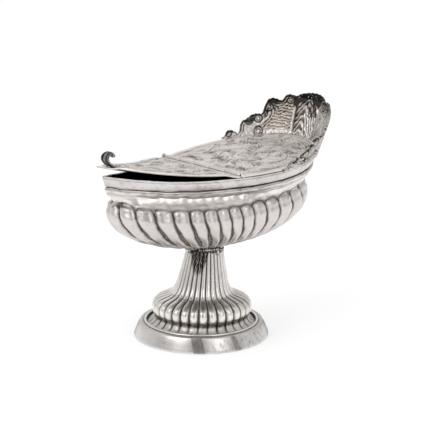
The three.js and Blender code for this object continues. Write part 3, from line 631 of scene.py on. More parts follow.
def plate(name, node, body, plan, start, end, lines):
    """Engraved sheet between two places along the boat."""
    lid = body == "lid"
    share = np.linspace(0, 1, PLATE_ROWS) * np.pi / 2
    x = start + (end - start) * (1 - np.cos(share) if lid else np.sin(share))
    across = np.linspace(-1, 1, PLATE_COLS)
    across = np.sin(across * np.pi / 2) * 0.6 + across * 0.4
    X = np.broadcast_to(x[:, None], (PLATE_ROWS, PLATE_COLS))
    Y = half_at(plan, x)[:, None] * across[None]
    near = nearness(X, Y, lines) + 0.10 * wavy(X, Y, 24, 3)
    plain = ease(half_at(plan, X) - np.abs(Y), 3.0, 5.5) * ease(X - start, 1.5, 4)
    if lid:
        plain = plain * ease(end - X, 1.5, 4)
    stroke = np.cos(near * 2 * np.pi / STROKE_PITCH - 2.4) * np.exp(-near / 4) * plain
    cut = bell(near, 0, CUT_WIDTH)
    edge = fall(np.abs(across)[None] + 0 * X, 0.985, 1.0)
    swell = 0.20 * wavy(X, Y, 21, 22) + 0.26 * wavy(X * 0.7, Y * 1.2, 22, 8) * plain
    ground = 0.11 * wavy(X * 0.8, Y, 23, 3.0) * plain
    bottom = sheer(X) + SEAT_GAP
    top = bottom + PLATE_SHEET + (swell + ground + 0.30 * stroke - 0.30 * cut) * edge - 0.25 * (1 - edge)
    if lid:
        bottom = bottom + 0.55 * (1 - edge) * ease(-X, 3, 12) + lid_level(X, Y)
        top = top + lid_level(X, Y)
    P = np.concatenate([np.stack([X, Y, top], -1), np.stack([X, Y, bottom], -1)[:, ::-1]], axis=1)
    if lid:
        P = about_pin(P)
    patches = ease(wavy(X * 0.8, Y * 1.3, 31, 13), 0.35, 0.6) * plain
    tone = 0.60 * cut + 0.26 * valley(stroke, 1) + 0.30 * patches
    tone = tone + 0.9 * np.exp(-(nearness(X, Y, dots_at(DOTS, 0.2)) / 0.75) ** 4)
    # The sheet's underside is painted darker, as shade.
    tone = np.concatenate([tone, 0 * tone + 0.45], axis=1)
    matte = np.concatenate([0.3 * plain, 0 * plain], axis=1)
    add_piece(name, node, P, capped_faces(P), ENGRAVED, "silver_chased", body, tone, 55, matte, warm=0.2)


lid_plan = {**RIM, "bow": RIM["bow"] + LID_OVERHANG}
lid_start = RIM["widest"] - lid_plan["bow"] + 0.25
plate("deck_engraved", "deck_plate", "boat", RIM, PIN_X + EDGE_GAP, DECK_END, deck_engraving())
plate("lid_engraved", "lid_plate", "lid", lid_plan, lid_start, PIN_X - EDGE_GAP, lid_engraving())


# Foot
FLUTES, FLUTE_COLS = 32, 14
DOME_SHIFT = 0.5
STEM_FOOT_Z, STEM_TOP_Z = 29.3, 59.0
STEM_TOP_RADIUS = 13
SOLDER_HEADING, VIEW_HEADING = 213.0, 229.0
PITS = np.array([(38, 6.6), (46, 3.4), (35, 1.6), (-34, 5.2), (55, 7.4), (21, 7.0)])
flute_count = np.arange(FLUTES * FLUTE_COLS)
flute_phase = (flute_count % FLUTE_COLS) / FLUTE_COLS
flute_angle = flute_count / (FLUTES * FLUTE_COLS) * 2 * np.pi


def fluted(name, node, sections, inner, lean, stains=None):
    """Fluted wall: outer rings of (radius, height, flute depth, tone), inner ones of (radius, height)."""
    rings = np.array(sections, float)[:, None, :] + 0 * flute_angle[None, :, None]
    r, z, depth, t = np.moveaxis(smooth_rows(rings, 4)[0], -1, 0)
    wander = 0.035 * np.sin(z * 0.23 + flute_angle * 3)
    side = np.abs(2 * flute_phase - 1 + wander) / 0.86
    rib = np.clip(1 - side ** 2.2, 0, 1) ** 0.5
    stray = np.random.default_rng(4).uniform(-0.12, 0.12, FLUTES)[flute_count // FLUTE_COLS]
    r = r - depth * (1 - rib) + stray[None] * depth * 0.6
    tone = t + 0.9 * np.clip(depth, 0, 1) * bell(rib, 0, 0.45)
    matte = np.clip(t * 1.4, 0, 1)
    if stains is not None:
        lump, stain_and_reflection = stains(flute_angle[None] + 0 * z, z)
        r, tone, matte = r + lump, tone + stain_and_reflection, np.maximum(matte, stain_and_reflection)
    inner = np.array(inner, float)
    wall = around_z(inner[:, :1], inner[:, 1:], flute_angle, lean(inner[:, 1:]))
    P = np.concatenate([around_z(r, z, flute_angle, lean(z[:, :1])), wall])
    # The inner wall is painted fully dark, as shade.
    tone = np.concatenate([tone, np.ones(wall.shape[:2])])
    matte = np.concatenate([matte, np.zeros(wall.shape[:2])])
    add_piece(name, node, P, ring_faces(P), CHASED, "silver_chased", dark=tone, matte=matte, warm=0.5 * matte)


def dome_lean(z):
    return DOME_SHIFT * ease(z, 10, 16)


def stem_lean(z):
    return DOME_SHIFT + 2.6 * np.maximum(z - STEM_FOOT_Z, 0) / (STEM_TOP_Z - STEM_FOOT_Z)


def solder_runs(angle, z):
    """Rough dark solder near the top of the stem, running down it on the side toward the viewer."""
    around = angle * STEM_TOP_RADIUS
    away = np.abs((angle - math.radians(SOLDER_HEADING) + np.pi) % (2 * np.pi) - np.pi) * STEM_TOP_RADIUS
    grain = 0.5 + 0.5 * wavy(around, z, 41, 1.5)
    run_down = ease(z, 42, 49) * fall(away - 0.30 * (z - 47), 1.6, 4.2)
    collar = ease(z + 2.4 * wavy(around, 0, 42, 5), 57.2, 58.8) * ease(wavy(around, z, 45, 4), -0.1, 0.4)
    stain_and_reflection = np.clip(run_down + collar, 0, 1) * (0.35 + 0.65 * ease(grain, 0.3, 0.6))
    return 0.55 * np.clip(run_down + 0.6 * collar, 0, 1) * grain, stain_and_reflection


def skirt_reflections_and_pits(degrees, z):
    """Painted reflections of the studio's dark strips as two upright streaks on the skirt, painted shade on
    one side of it and toward both sides of the view, and pits and mottling.
    """
    turn = (degrees - VIEW_HEADING + 180) % 360 - 180
    lean = turn + 0.35 * (z - 5)
    # Painted reflections: two upright dark streaks.
    tone = 0.85 * fall(np.abs(lean + 2.8), 4.6, 5.6) + 0.5 * fall(np.abs(lean - 31), 2.2, 3.4)
    # Painted shade: darker on one side of the view and toward both its edges.
    tone = tone + 0.14 * ease(turn, 4, 26) + 0.5 * ease(np.abs(turn), 74, 88)
    for at, height in PITS:
        tone = tone + 0.7 * fall(np.hypot((turn - at) * 0.75, z - height), 0.3, 0.9)
    tone = tone + 0.30 * ease(wavy(degrees, z, 44, 5), 0.25, 0.9) * ease(turn, -20, 20)
    return tone * ease(z, 0.1, 0.5) * fall(z, 9.2, 9.6) * (turn < 92) * (turn > -92)


# In the dome's tone column, the dark rings at the bottom under the wire and just under the lobes' lower ends
# are painted shade; the flange's tone is its stippled tarnish.
fluted("foot_dome_chased", "foot_dome",
       [(38.4, 7.3, 0, 0.8), (38.5, 8.0, 0, 0.8), (36.6, 8.9, 0.3, 0.20), (34.6, 9.9, 0.55, 0.18),
        (32.8, 11.3, 0.7, 0.20), (31.8, 12.9, 0.8, 0.26), (31.2, 14.1, 1.0, 0.7), (31.5, 15.0, 1.3, 0.35),
        (32.6, 16.1, 1.7, 0.03), (33.15, 17.8, 1.9, 0), (33.3, 19.8, 1.95, 0), (33.0, 21.7, 1.9, 0.02),
        (32.2, 23.3, 1.8, 0.06), (30.6, 24.8, 1.7, 0.06), (28.0, 26.1, 1.55, 0), (25.2, 27.1, 1.4, 0),
        (22.8, 28.0, 1.3, 0), (21.2, 29.0, 1.2, 0)],
       [(19.2, 28.8), (18.8, 28.0), (21.5, 25.9), (25.5, 23.2), (29.0, 21.2), (29.9, 18.5), (28.3, 13.0),
        (30.2, 10.2), (33.0, 8.4), (38.0, 6.9)], dome_lean)
fluted("stem_chased", "trumpet_stem",
       [(19.2, 29.2, 0.6, 0.3), (21.2, 29.15, 1.2, 0), (20.2, 30.3, 1.15, 0), (19.1, 32.2, 1.1, 0),
        (17.9, 34.8, 1.1, 0), (16.8, 38.6, 1.05, 0), (16.0, 42, 1.05, 0), (15.2, 45, 1.0, 0),
        (14.3, 49.5, 1.0, 0), (13.4, 54, 0.95, 0.03), (12.9, 57.6, 0.9, 0.06), (12.8, 59.3, 0.8, 0.1)],
       [(10.4, 59.3), (10.4, 57.8), (11.6, 49.3), (13.6, 38.3), (15.4, 32.3)], stem_lean, solder_runs)

skirt = [(45.0, 0.35), (44.95, 1.2), (44.5, 2.3), (44.0, 3.6), (43.5, 4.9), (43.0, 6.2), (42.4, 7.5),
         (41.9, 8.6), (41.4, 9.3)]
skirt_top = [(40.9, 9.8), (40.2, 10.0), (39.0, 10.0), (38.4, 9.8), (38.3, 9.0), (39.3, 8.6)]
# Painted shade where the skirt meets the floor and under the wire at its top.
skirt_shade = [0.8, 0.2, *[0] * len(skirt), 0.05, 0.15, 0.3, 0.6, 1, 1]
spun("base_band_turned", "base_band", [(43.6, 0), (44.7, 0), *skirt, *skirt_top],
     POLISHED, "silver_polished", sides=540, wobble=0.05, dark=skirt_shade, sharp=60, stain_and_reflection=skirt_reflections_and_pits)
WIRE_RADIUS, WIRE_X, WIRE_Z = 0.95, 37.3, 10.0
# Round the wire's section: painted shade on its inner side and underside.
WIRE_SHADE = [0.15, 0.05, 0, 0, 0, 0.1, 0.5, 1, 1, 1, 1, 1, 1, 0.6]
wire_turn = full_turn(len(WIRE_SHADE))
wire = [(WIRE_X + WIRE_RADIUS * math.cos(a), WIRE_Z + WIRE_RADIUS * math.sin(a)) for a in wire_turn]
spun("base_wire_drawn", "base_wire", wire, CHASED, "silver_aged", sides=256, wobble=0.10, dark=WIRE_SHADE)


# Solder between the stem and the hull, as rings of (radius, height, unevenness, how far it drips)
BEAD = np.array([(11.4, 58.9, 0.5, 1), (12.0, 59.2, 0.9, 0.8), (12.3, 59.8, 1.0, 0.4), (12.3, 60.5, 1.0, 0),
                 (12.0, 61.0, 0.9, 0), (11.5, 61.3, 0.5, 0)])


def solder_bead():
    turn = full_turn(160)
    lump = 0.35 * np.sin(3 * turn + 1) + 0.35 * np.sin(7 * turn)
    lump = lump + 0.3 * np.sin(13 * turn + 2) + 0.3 * np.sin(29 * turn)
    drip = 0.5 * np.clip(np.sin(11 * turn + 1) + np.sin(5 * turn), 0, 2)
    r, z, swell, fallen = (BEAD[:, k, None] for k in range(4))
    rings = [around_z(r + 0.8 * lump * swell, z - drip * fallen, turn, STEM_LEAN)]
    rings += [around_z(9, height, turn, STEM_LEAN)[None] for height in (61.15, 59.25)]
    P = np.concatenate(rings)
    tone = 0.1 + 0.9 * ease(wavy(STEM_TOP_RADIUS * turn, 0, 43, 2.5), -0.2, 0.3)
    add_piece("solder_bead", "solder_joint", P, ring_faces(P), SOLDER, "solder", dark=tone)


solder_bead()


# Hinge
BARREL_HOLE, BARREL_END, BARREL_RADIUS, BARREL_EDGE = 0.82, 1.1, 1.2, 0.15
KNOB_RADIUS = 1.6


def barrel(node, body):
    """Knuckle with rounded ends, turned about the pin."""
    low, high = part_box(node)
    y0, y1 = low[1] / MM - FOOT_Y, high[1] / MM - FOOT_Y
    turn = full_turn(32)
    rings = [(BARREL_HOLE, y0), (BARREL_END, y0), (BARREL_RADIUS, y0 + BARREL_EDGE),
             (BARREL_RADIUS, y1 - BARREL_EDGE), (BARREL_END, y1), (BARREL_HOLE, y1)]
    r, y = (np.array(part)[:, None] for part in zip(*rings))
    P = np.stack([PIN_X + r * np.cos(turn), 0 * turn + y, PIN_Z + r * np.sin(turn)], -1)
    add_piece("barrel_" + node, node, P, ring_faces(P), ENGRAVED, "silver_aged", body, 0.22, 40)


def knob(name, node, tone):
    """Ball on the pin's end, slightly out of round."""
    low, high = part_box(node)
    cx, cy, cz = ((low[k] + high[k]) / 2 / MM for k in range(3))
    rise = np.linspace(-np.pi / 2, np.pi / 2, 17)[:, None]
    around = full_turn(32)[None]
    r = KNOB_RADIUS * (1 - 0.06 * np.sin(2 * around) ** 2)
    P = around_z(r * np.cos(rise), r * np.sin(rise), around) + np.array([cx - FOOT_X, cy - FOOT_Y, cz])
    # Painted shade on the lower half of the ball.
    tone = 0.5 * ease(-rise, -0.2, 1) + tone
    add_piece(name, node, P, ring_faces(P, False), ENGRAVED, "silver_polished", dark=tone)


for node in ("deck_knuckle_near", "lid_knuckle_near", "deck_knuckle_middle", "lid_knuckle_far",
             "deck_knuckle_far"):
    barrel(node, "lid" if node.startswith("lid") else "boat")
knob("knob_near", "pin_ball_near", 0.1)
knob("knob_far", "pin_ball_far", 0.5)

# Thumb scroll, drawn as a line of (along the lid, up) with its foot strap first
THUMB_X, RISE = -79.0, 8.6
STRAP_MIDDLE = 7.2
THUMB_SIDES = 28
THUMB_HALF_SHEET = 0.55
THUMB_KNOTS = [(12, 0), (8.5, 0), (5, 0), (2.4, 0.04 * RISE), (0, 0.22 * RISE), (-2, 0.46 * RISE),
               (-1.8, 0.78 * RISE), (0.2, RISE), (2.7, 0.93 * RISE), (3.9, 0.68 * RISE)]


def thumb_curl():
    path = bend(*THUMB_KNOTS, points=7)
    tangent = np.gradient(path, axis=0)
    tangent /= np.linalg.norm(tangent, axis=1)[:, None]
    normal = np.stack([-tangent[:, 1], tangent[:, 0]], -1)
    t = np.linspace(0, 1, len(path))
    tip = t > 0.985
    thick = THUMB_HALF_SHEET + 0.85 * bell(t, 0.955, 0.04) + 0.45 * bell(t, 0.5, 0.12)
    thick = thick * np.where(tip, 0.55, 1)
    wide = (2.6 + 1.3 * ease(t, 0.15, 0.35)) * (1 - 0.55 * ease(t, 0.62, 0.86)) * np.where(tip, 0.8, 1)
    around = full_turn(THUMB_SIDES)
    cu = np.sign(np.cos(around)) * np.abs(np.cos(around)) ** 0.35
    sv = np.sign(np.sin(around)) * np.abs(np.sin(around)) ** 0.6
    furrow = 0.5 - 0.5 * np.cos(4 * np.pi * np.abs(np.cos(around)))
    ribbed = (ease(t, 0.18, 0.3) * fall(t, 0.86, 0.92))[:, None]
    off = thick[:, None] * sv - 0.28 * np.sign(sv) * furrow * ribbed
    along, up = (path[:, k, None] + normal[:, k, None] * off for k in (0, 1))

    slope = float(sheer(THUMB_X + STRAP_MIDDLE + 1) - sheer(THUMB_X + STRAP_MIDDLE - 1)) / 2
    lid_top = float(sheer(THUMB_X + STRAP_MIDDLE)) + SEAT_GAP + PLATE_SHEET
    seat_z = lid_top + SEAT_GAP - STRAP_MIDDLE * slope + THUMB_HALF_SHEET
    c, s = math.cos(math.atan(slope)), math.sin(math.atan(slope))
    P = np.stack([THUMB_X + along * c - up * s, wide[:, None] * cu, seat_z + along * s + up * c], -1)
    P = about_pin(P)
    tone = 0.25 + 0.8 * furrow * ribbed + 0.35 * fall(t, 0.3, 0.5)[:, None] * ribbed
    add_piece("thumb_curl", "thumb_scroll", P, capped_faces(P), AGED, "silver_aged", "lid", tone, 60)


thumb_curl()

# Crest: distances run round the rim from the middle of the stern, and the far side is positive
CREST = inset(RIM, -0.9)
CREST_HEIGHT, CREST_FLARE = 27.2, 0.335
CREST_ROWS = 104
TRANSOM_START, TRANSOM_END = -12, 7.6
FAR_START, FAR_END = 7.9, 58.2
NEAR_START, NEAR_END = 12.3, 84.0
quarter = np.cos(np.linspace(0, np.pi / 2, 4001))
crest_c = np.concatenate([quarter, -np.sin(np.linspace(0, 0.5, 1500))[1:]])
crest_x = CREST["widest"] + np.where(crest_c > 0, CREST["stern"], CREST["bow"]) * crest_c
crest_y = half_at(CREST, crest_x)
crest_run = np.concatenate([[0], np.cumsum(np.hypot(np.diff(crest_x), np.diff(crest_y)))])


def crest_place(s, h, offset):
    """Place on the crest wall at a distance round the rim and a height over it."""
    def at(d):
        return np.interp(np.abs(d), crest_run, crest_x), np.sign(d) * np.interp(np.abs(d), crest_run, crest_y)

    x, y = at(s)
    (xa, ya), (xb, yb) = at(s - 0.4), at(s + 0.4)
    n = np.hypot(xb - xa, yb - ya)
    out = CREST_FLARE * np.maximum(h, 0) + offset
    return np.stack([x + (yb - ya) / n * out, y - (xb - xa) / n * out, sheer(x) + h], -1)


# Outlines of the two wings: share of the way toward the bow, share of the crest's height
FAR = [(0, 0.98), (0.024, 0.97), (0.06, 0.975), (0.093, 0.99), (0.12, 1.0), (0.151, 0.993), (0.168, 0.965),
       (0.183, 0.92), (0.2, 0.865), (0.215, 0.842), (0.245, 0.855), (0.276, 0.879), (0.31, 0.9),
       (0.34, 0.901), (0.365, 0.885), (0.38, 0.864), (0.402, 0.794), (0.418, 0.71), (0.433, 0.61),
       (0.448, 0.545), (0.465, 0.518), (0.5, 0.535), (0.527, 0.54), (0.56, 0.528), (0.59, 0.504),
       (0.62, 0.46), (0.65, 0.419), (0.685, 0.405), (0.712, 0.386), (0.728, 0.31), (0.742, 0.184),
       (0.755, 0.125), (0.769, 0.107), (0.8, 0.15), (0.831, 0.191), (0.86, 0.215), (0.891, 0.213),
       (0.915, 0.2), (0.93, 0.176), (0.95, 0.092), (1, 0.063)]
NEAR = [(0, 0.98), (0.06, 0.99), (0.12, 1), (0.15, 0.98), (0.177, 0.95), (0.219, 0.912), (0.261, 0.86),
        (0.303, 0.78), (0.345, 0.74), (0.372, 0.75), (0.4, 0.73), (0.43, 0.76), (0.456, 0.745),
        (0.475, 0.69), (0.491, 0.64), (0.52, 0.63), (0.559, 0.6), (0.585, 0.63), (0.61, 0.615),
        (0.635, 0.62), (0.656, 0.588), (0.68, 0.57), (0.7, 0.52), (0.714, 0.42), (0.74, 0.425), (0.765, 0.4),
        (0.791, 0.375), (0.81, 0.38), (0.833, 0.338), (0.855, 0.33), (0.874, 0.276), (0.894, 0.22),
        (0.916, 0.2), (0.935, 0.225), (0.955, 0.22), (0.975, 0.21), (0.99, 0.16), (1, 0.06)]


def wing_top(outline, start, reach, s):
    """Height of a wing's wavy top edge."""
    away = np.abs(s)
    share = np.clip((away - start) / (reach - start), 0, 1)
    ripple = 0.18 * np.sin(away * 2.4) + 0.12 * np.sin(away * 5.1)
    return CREST_HEIGHT * np.interp(share, *zip(*outline)) + ripple


def transom_top(s):
    return 25.6 + 0 * s


def crest_wall(name, node, start, end, top_at, field, cols):
    """Chased wall from one distance to another; the field gives relief, tone, stipple and warmth."""
    u, v = np.linspace(0, 1, cols), np.linspace(0, 1, CREST_ROWS)
    s = start + (end - start) * u[None] + 0 * v[:, None]
    h = -1 + (top_at(s) + 1) * v[:, None]
    along = np.linspace(start, end, 260)
    top_line = np.stack([along, top_at(along)], -1)
    edge = nearness(s, h, [top_line[k:k + 9] for k in range(0, 252, 8)])
    relief, tone, matte, warm = field(s, h, np.minimum(edge, 30))
    relief = relief + 0.07 * wavy(s, h, 51, 1.6) + 0.16 * wavy(s, h, 52, 4)
    tone = tone + 0.12 * ease(wavy(s, h, 53, 2.0), 0.15, 0.9)
    fade = np.clip(np.minimum(u, 1 - u) / 0.012, 0, 1)[None] * np.clip((1 - v) / 0.012, 0, 1)[:, None]
    relief = relief * fade
    front, back = crest_place(s, h, -0.35 - 0.95 * relief), crest_place(s, h, 0.30 + 0.75 * relief)
    P = np.concatenate([front, back[:, ::-1]], axis=1)

    def both(a):
        return np.concatenate([a + 0 * s, (a + 0 * s)[:, ::-1]], axis=1)

    wear = dict(dark=both(tone), matte=both(matte), warm=both(warm))
    add_piece(name, node, P, shell_faces(P), CHASED, "silver_chased", **wear)


def strokes(s, h, lines, pitch, spread):
    """Ridge along each line with finer strokes beside it."""
    near = nearness(s, h, lines) + 0.12 * wavy(s, h, 61, 2.5)
    return np.cos(near * 2 * np.pi / pitch) * np.exp(-np.maximum(near, 0) / spread)


def bosses(s, h, places):
    """Round knobs standing out of the wall, each in a dark groove: relief and groove tone."""
    relief, groove = 0 * h, 0 * h
    for at, height, size in places:
        d = np.hypot(s - at, h - height) / size
        relief = np.maximum(relief, np.clip(1 - d ** 2, 0, 1) ** 0.5)
        groove = np.maximum(groove, bell(d, 1.06, 0.18) + 0.7 * bell(d, 0.52, 0.13))
    return relief, groove


def seam(s, h):
    """Bright lumps of solder along the foot of the wall."""
    return bell(h, 1.5, 0.75) * np.clip(0.55 + 0.45 * wavy(s, 0, 62, 2.6), 0, 1)


FAR_LINES = [spiral(12.3, 23.5, 2.3, 100, 1.4, -1), spiral(26.4, 18.4, 2.6, 30, 1.4, 1),
             spiral(32.7, 11.1, 2.6, 70, 1.5, 1), spiral(32.4, 2.6, 2.9, 0, 1.0, 1, shrink=0.9),
             spiral(52.7, 3.3, 1.9, 80, 1.3, 1), spiral(48.6, 3.0, 1.3, 80, 1.2, -1),
             bend((10.3, 25.8), (14.5, 25.2), (16.8, 21.8), (19.6, 19.6), (23.5, 20.6), (26.5, 21.8)),
             bend((27.6, 15.6), (28.4, 12.6), (31, 13.6), (34.8, 12.8)),
             bend((36.2, 10.8), (39.2, 8.8), (42.6, 8.2), (43.4, 4), (43.2, 0.5)),
             bend((24.5, 19.0), (23.4, 15.2), (24.4, 11.0), (27.8, 7.6), (30.2, 5.2)),
             bend((21.5, 17.6), (19.5, 14.6), (16.5, 16.4), (13.6, 19.6))]
FAR_KNOBS = [(12.3, 23.6, 2.1), (26.2, 18.6, 2.6), (23.6, 21.6, 1.9), (32.6, 11.3, 2.3), (38.2, 10.0, 2.1),
             (32.4, 2.9, 2.7), (52.7, 3.3, 1.8)]


def far_field(s, h, edge):
    """Far wing: a panel of wavy lines beside the transom, scrolls and knobs round it."""
    wave = strokes(s, h, FAR_LINES, 1.9, 1.7)
    knobs, groove = bosses(s, h, FAR_KNOBS)
    border_wave = np.cos(edge * 2 * np.pi / 1.75 - 0.6) * fall(edge, 4.2, 5.8) * ease(s, 8.5, 10)
    panel = fall(s + 0.55 * (h - 10), 23.5, 26) * ease(h, 3.4, 4.6)
    panel = panel * ease(edge, 4.6, 6.4) * ease(s, 9.2, 10.2)
    flow = h + 0.28 * np.sin(s * 1.7 + 1.2 * np.sin(0.7 * h)) + 0.5 * wavy(s, h, 65, 6) - 0.10 * s
    lines = np.sin(flow * 2 * np.pi / 2.05)
    plain = 1 - ease(h, 2.9, 4.0) * (1 - (s > 29) * 0.6)
    work = 1 - 0.85 * np.maximum(plain, 0.6 * panel)
    # Painted highlight: a light strip along the fold between the far wing and the transom.
    strip = bell(s, 9.2, 0.5) * fall(h, 17, 19)
    relief = (0.55 * wave + 0.70 * border_wave) * work * (1 - knobs) + 0.34 * lines * panel
    relief += 0.8 * knobs + 0.8 * seam(s, h) * (s < 24) + 0.25 * strip
    tone = (0.8 * valley(wave, 1.8) + 0.85 * valley(border_wave, 1.5)) * work
    tone += (0.10 + 0.55 * valley(lines, 1.3)) * panel + 0.85 * groove + 0.16 * (1 - panel)
    tone += 0.85 * ease(h, 20.2, 22.2) * ease(s, 18.5, 20.5) * fall(s, 26, 28)
    tone += 0.85 * ease(h, 8.6, 10.6) * ease(s, 35, 37) * fall(s, 41, 43)
    # Painted shade at the fold: along its foot, and black at its top.
    tone += 0.5 * fall(s, 8.1, 8.7) * ease(h, 3, 8) + ease(h, 18.5, 21.5) * fall(s, 9.5, 11)
    tone += 0.25 * ease(1.6 - edge, 0, 1)
    return relief, tone * (1 - 0.8 * strip), 0.5 * (1 - panel) * (1 - plain), 0.55 * panel + 0.05


NEAR_LINES = [spiral(16.5, 23.4, 2.4, 100, 1.4, -1), spiral(24.0, 21.0, 2.2, 30, 1.3, 1),
              spiral(33.5, 16.8, 2.6, 60, 1.4, 1), spiral(45.0, 16.6, 2.5, 70, 1.4, 1),
              spiral(59.3, 12.6, 2.7, 60, 1.5, 1), spiral(53.0, 9.0, 2.4, 0, 1.4, -1),
              spiral(67.0, 7.4, 2.0, 60, 1.4, 1), spiral(73.0, 5.2, 1.8, 40, 1.3, -1),
              spiral(80.4, 3.2, 1.8, 80, 1.4, 1), spiral(76.8, 2.6, 1.2, 80, 1.2, -1),
              bend((17, 20), (22, 15), (27, 12), (33, 13.5)), bend((36, 15), (40, 10), (44, 9), (47, 14)),
              bend((48, 16), (52, 12.5), (56, 11)), bend((61.5, 11), (64, 6), (66, 5)),
              bend((30, 3), (36, 7), (42, 4), (48, 3), (54, 4.5), (60, 3), (66, 2.2), (72, 2.4)),
              bend((14, 3), (18, 9), (17, 15)), bend((22, 2), (25, 7), (24, 13))]
DARK_SPOTS = [(52.2, 14.9), (56.0, 14.2), (59.6, 15.3), (62.8, 12.2), (65.2, 9.9), (68.6, 9.2), (69.6, 8.8),
           (71.6, 8.0), (74.6, 6.3), (70.0, 6.0), (76.4, 4.9), (66.0, 3.4), (48.0, 14.8), (44.0, 11.6),
           (39.4, 14.2)]


def near_field(s, h, edge):
    """Near wing: scrolls on a stippled ground, with small dark dents."""
    s = np.abs(s)
    wave = strokes(s, h, NEAR_LINES, 1.9, 1.8)
    border_wave = np.cos(edge * 2 * np.pi / 1.8 - 0.8) * fall(edge, 3.4, 5.2)
    deep = np.exp(-(nearness(s, h, dots_at(DARK_SPOTS, 0.5, -0.2)) / 0.85) ** 4)
    grain = wavy(s, h, 63, 1.3)
    relief = 0.62 * wave + 0.6 * border_wave + 0.22 * grain - 0.7 * deep
    tone = 0.7 * valley(wave, 1.8) + 0.6 * valley(border_wave, 1.5)
    tone = tone + 0.34 * ease(-grain, 0.1, 0.8) + 1.1 * deep
    tone = tone * (1 - 0.5 * ease(s, 66, 72)) + 0.35 * ease(h, 18, 25) + 0.14
    return relief, tone, 0.6, 0.15


TRANSOM_LINES = [bend((-7.0, 2.2), (-7.8, 7), (-8.4, 12), (-8.0, 15.6)),
                 bend((-9.6, 1.8), (-10.2, 8), (-11.2, 13)),
                 bend((4.6, 16.4), (3.4, 19.4), (0.8, 20.6), (-1.6, 19.0), (-2.4, 16.4)),
                 spiral(-6.4, 20.6, 2.4, 200, 1.3, -1), spiral(-2.6, 23.2, 1.7, 200, 1.2, -1),
                 bend((1.2, 22.4), (-0.2, 24.4), (-2.8, 25.2))]
TRANSOM_KNOBS = [(-6.2, 19.6, 2.3), (-9.6, 16.4, 1.6), (-4.4, 15.2, 1.2), (-9.8, 22.2, 1.5)]


def transom_field(s, h, edge):
    """Transom: nested arches under a curl, with a painted shadow at its top under the roll, broken by painted
    highlights on the strokes, and painted shade beside the fold.
    """
    wave = strokes(s, h, TRANSOM_LINES, 1.7, 1.6)
    knobs, groove = bosses(s, h, TRANSOM_KNOBS)
    axis = s - 1.4 + 0.10 * (h - 10)
    flow = h + 2.1 * (np.hypot(axis, 1.8) - 1.8) + wavy(s, h, 64, 5)
    arches = np.cos(flow * 2 * np.pi / 5.0 + 0.8)
    tip = bell(flow, 19.6, 1.2) * fall(np.abs(axis), 3, 5)
    # Painted shadow under the roll, lighter along the strokes' ridges as painted highlights.
    over = ease(h - 21.2, 0, 2.2) * (1 - 0.9 * ease(wave, 0.2, 0.7))
    curl = bell(s, -6.5, 3.2) * bell(h, 19.5, 4.2)
    relief = (0.55 * arches + 0.25 * wave) * (1 - over) * (1 - knobs)
    relief = relief + 0.9 * knobs + 0.5 * tip + 0.8 * seam(s, h)
    tone = 0.74 * valley(arches, 1.6) * (1 - seam(s, h)) * (1 - tip) + 0.30 * valley(wave, 1) + 0.7 * groove
    # 0.95 * over is the painted shadow under the roll; the last term is painted shade beside the fold.
    tone += 0.7 * curl * (1 - knobs) + 0.95 * over + 0.75 * ease(s, 5.4, 7.0) * ease(h, 2, 8)
    return relief, tone, 0.2, 0.22 * (1 - over)


crest_wall("crest_wing_far_chased", "crest_wing_far", FAR_START, FAR_END,
           partial(wing_top, FAR, FAR_START, FAR_END), far_field, 170)
crest_wall("crest_wing_near_chased", "crest_wing_near", -NEAR_END, -NEAR_START,
           partial(wing_top, NEAR, NEAR_START, NEAR_END), near_field, 230)
crest_wall("crest_transom_chased", "crest_transom", TRANSOM_START, TRANSOM_END,
           transom_top, transom_field, 110)

# Dark curl over the top of the transom
ROLL_HEIGHT, ROLL_RADIUS, ROLL_WALL = 25.9, 3.6, 0.9
ROLL_LOBES = 7
ROLL_TURN = np.radians(250)


def crest_roll():
    share = np.linspace(0, 1, 96)[None]
    angle = (np.pi - ROLL_TURN * np.linspace(0, 1, 44))[:, None]
    bulge = np.sin(np.pi * share)
    radius = ROLL_RADIUS * (0.45 + 0.55 * bulge ** 0.8)
    lobes = np.abs(np.sin(np.pi * (share * ROLL_LOBES + 0.25 * np.sin(angle))))
    dist = TRANSOM_START + (TRANSOM_END - TRANSOM_START) * share + 0 * angle

    def shell(curl):
        P = crest_place(dist, ROLL_HEIGHT + 0 * dist, radius + curl * np.cos(angle) - 0.6)
        seat = crest_place(dist, ROLL_HEIGHT + 0 * dist, radius - 0.6)
        P[..., 2] = seat[..., 2] + curl * np.sin(angle)
        return P

    outer, inner = shell(radius - 0.55 * (1 - lobes) * bulge), shell(radius - ROLL_WALL)
    P = np.concatenate([outer, inner[:, ::-1]], axis=1)
    # The roll is painted black as the shade in its curl, with painted highlights along its lobes; its inside
    # is painted dark as shade too.
    tone = 1.0 - 0.95 * ease(lobes, 0.75, 1.0) * ease(wavy(dist, angle * 3, 71, 2), 0.2, 0.8)
    tone = np.concatenate([tone, 0 * tone + 0.9], axis=1)
    add_piece("crest_roll_chased", "crest_roll", P, shell_faces(P), AGED, "silver_aged", dark=tone, matte=0.4)


crest_roll()

# What stays from the solids gets its finish
for node in ("hinge_pin", "thumb_rivet_1", "thumb_rivet_2", "thumb_rivet_3"):
    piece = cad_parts[node]
    piece.data.materials.clear()
    piece.data.materials.append(AGED)


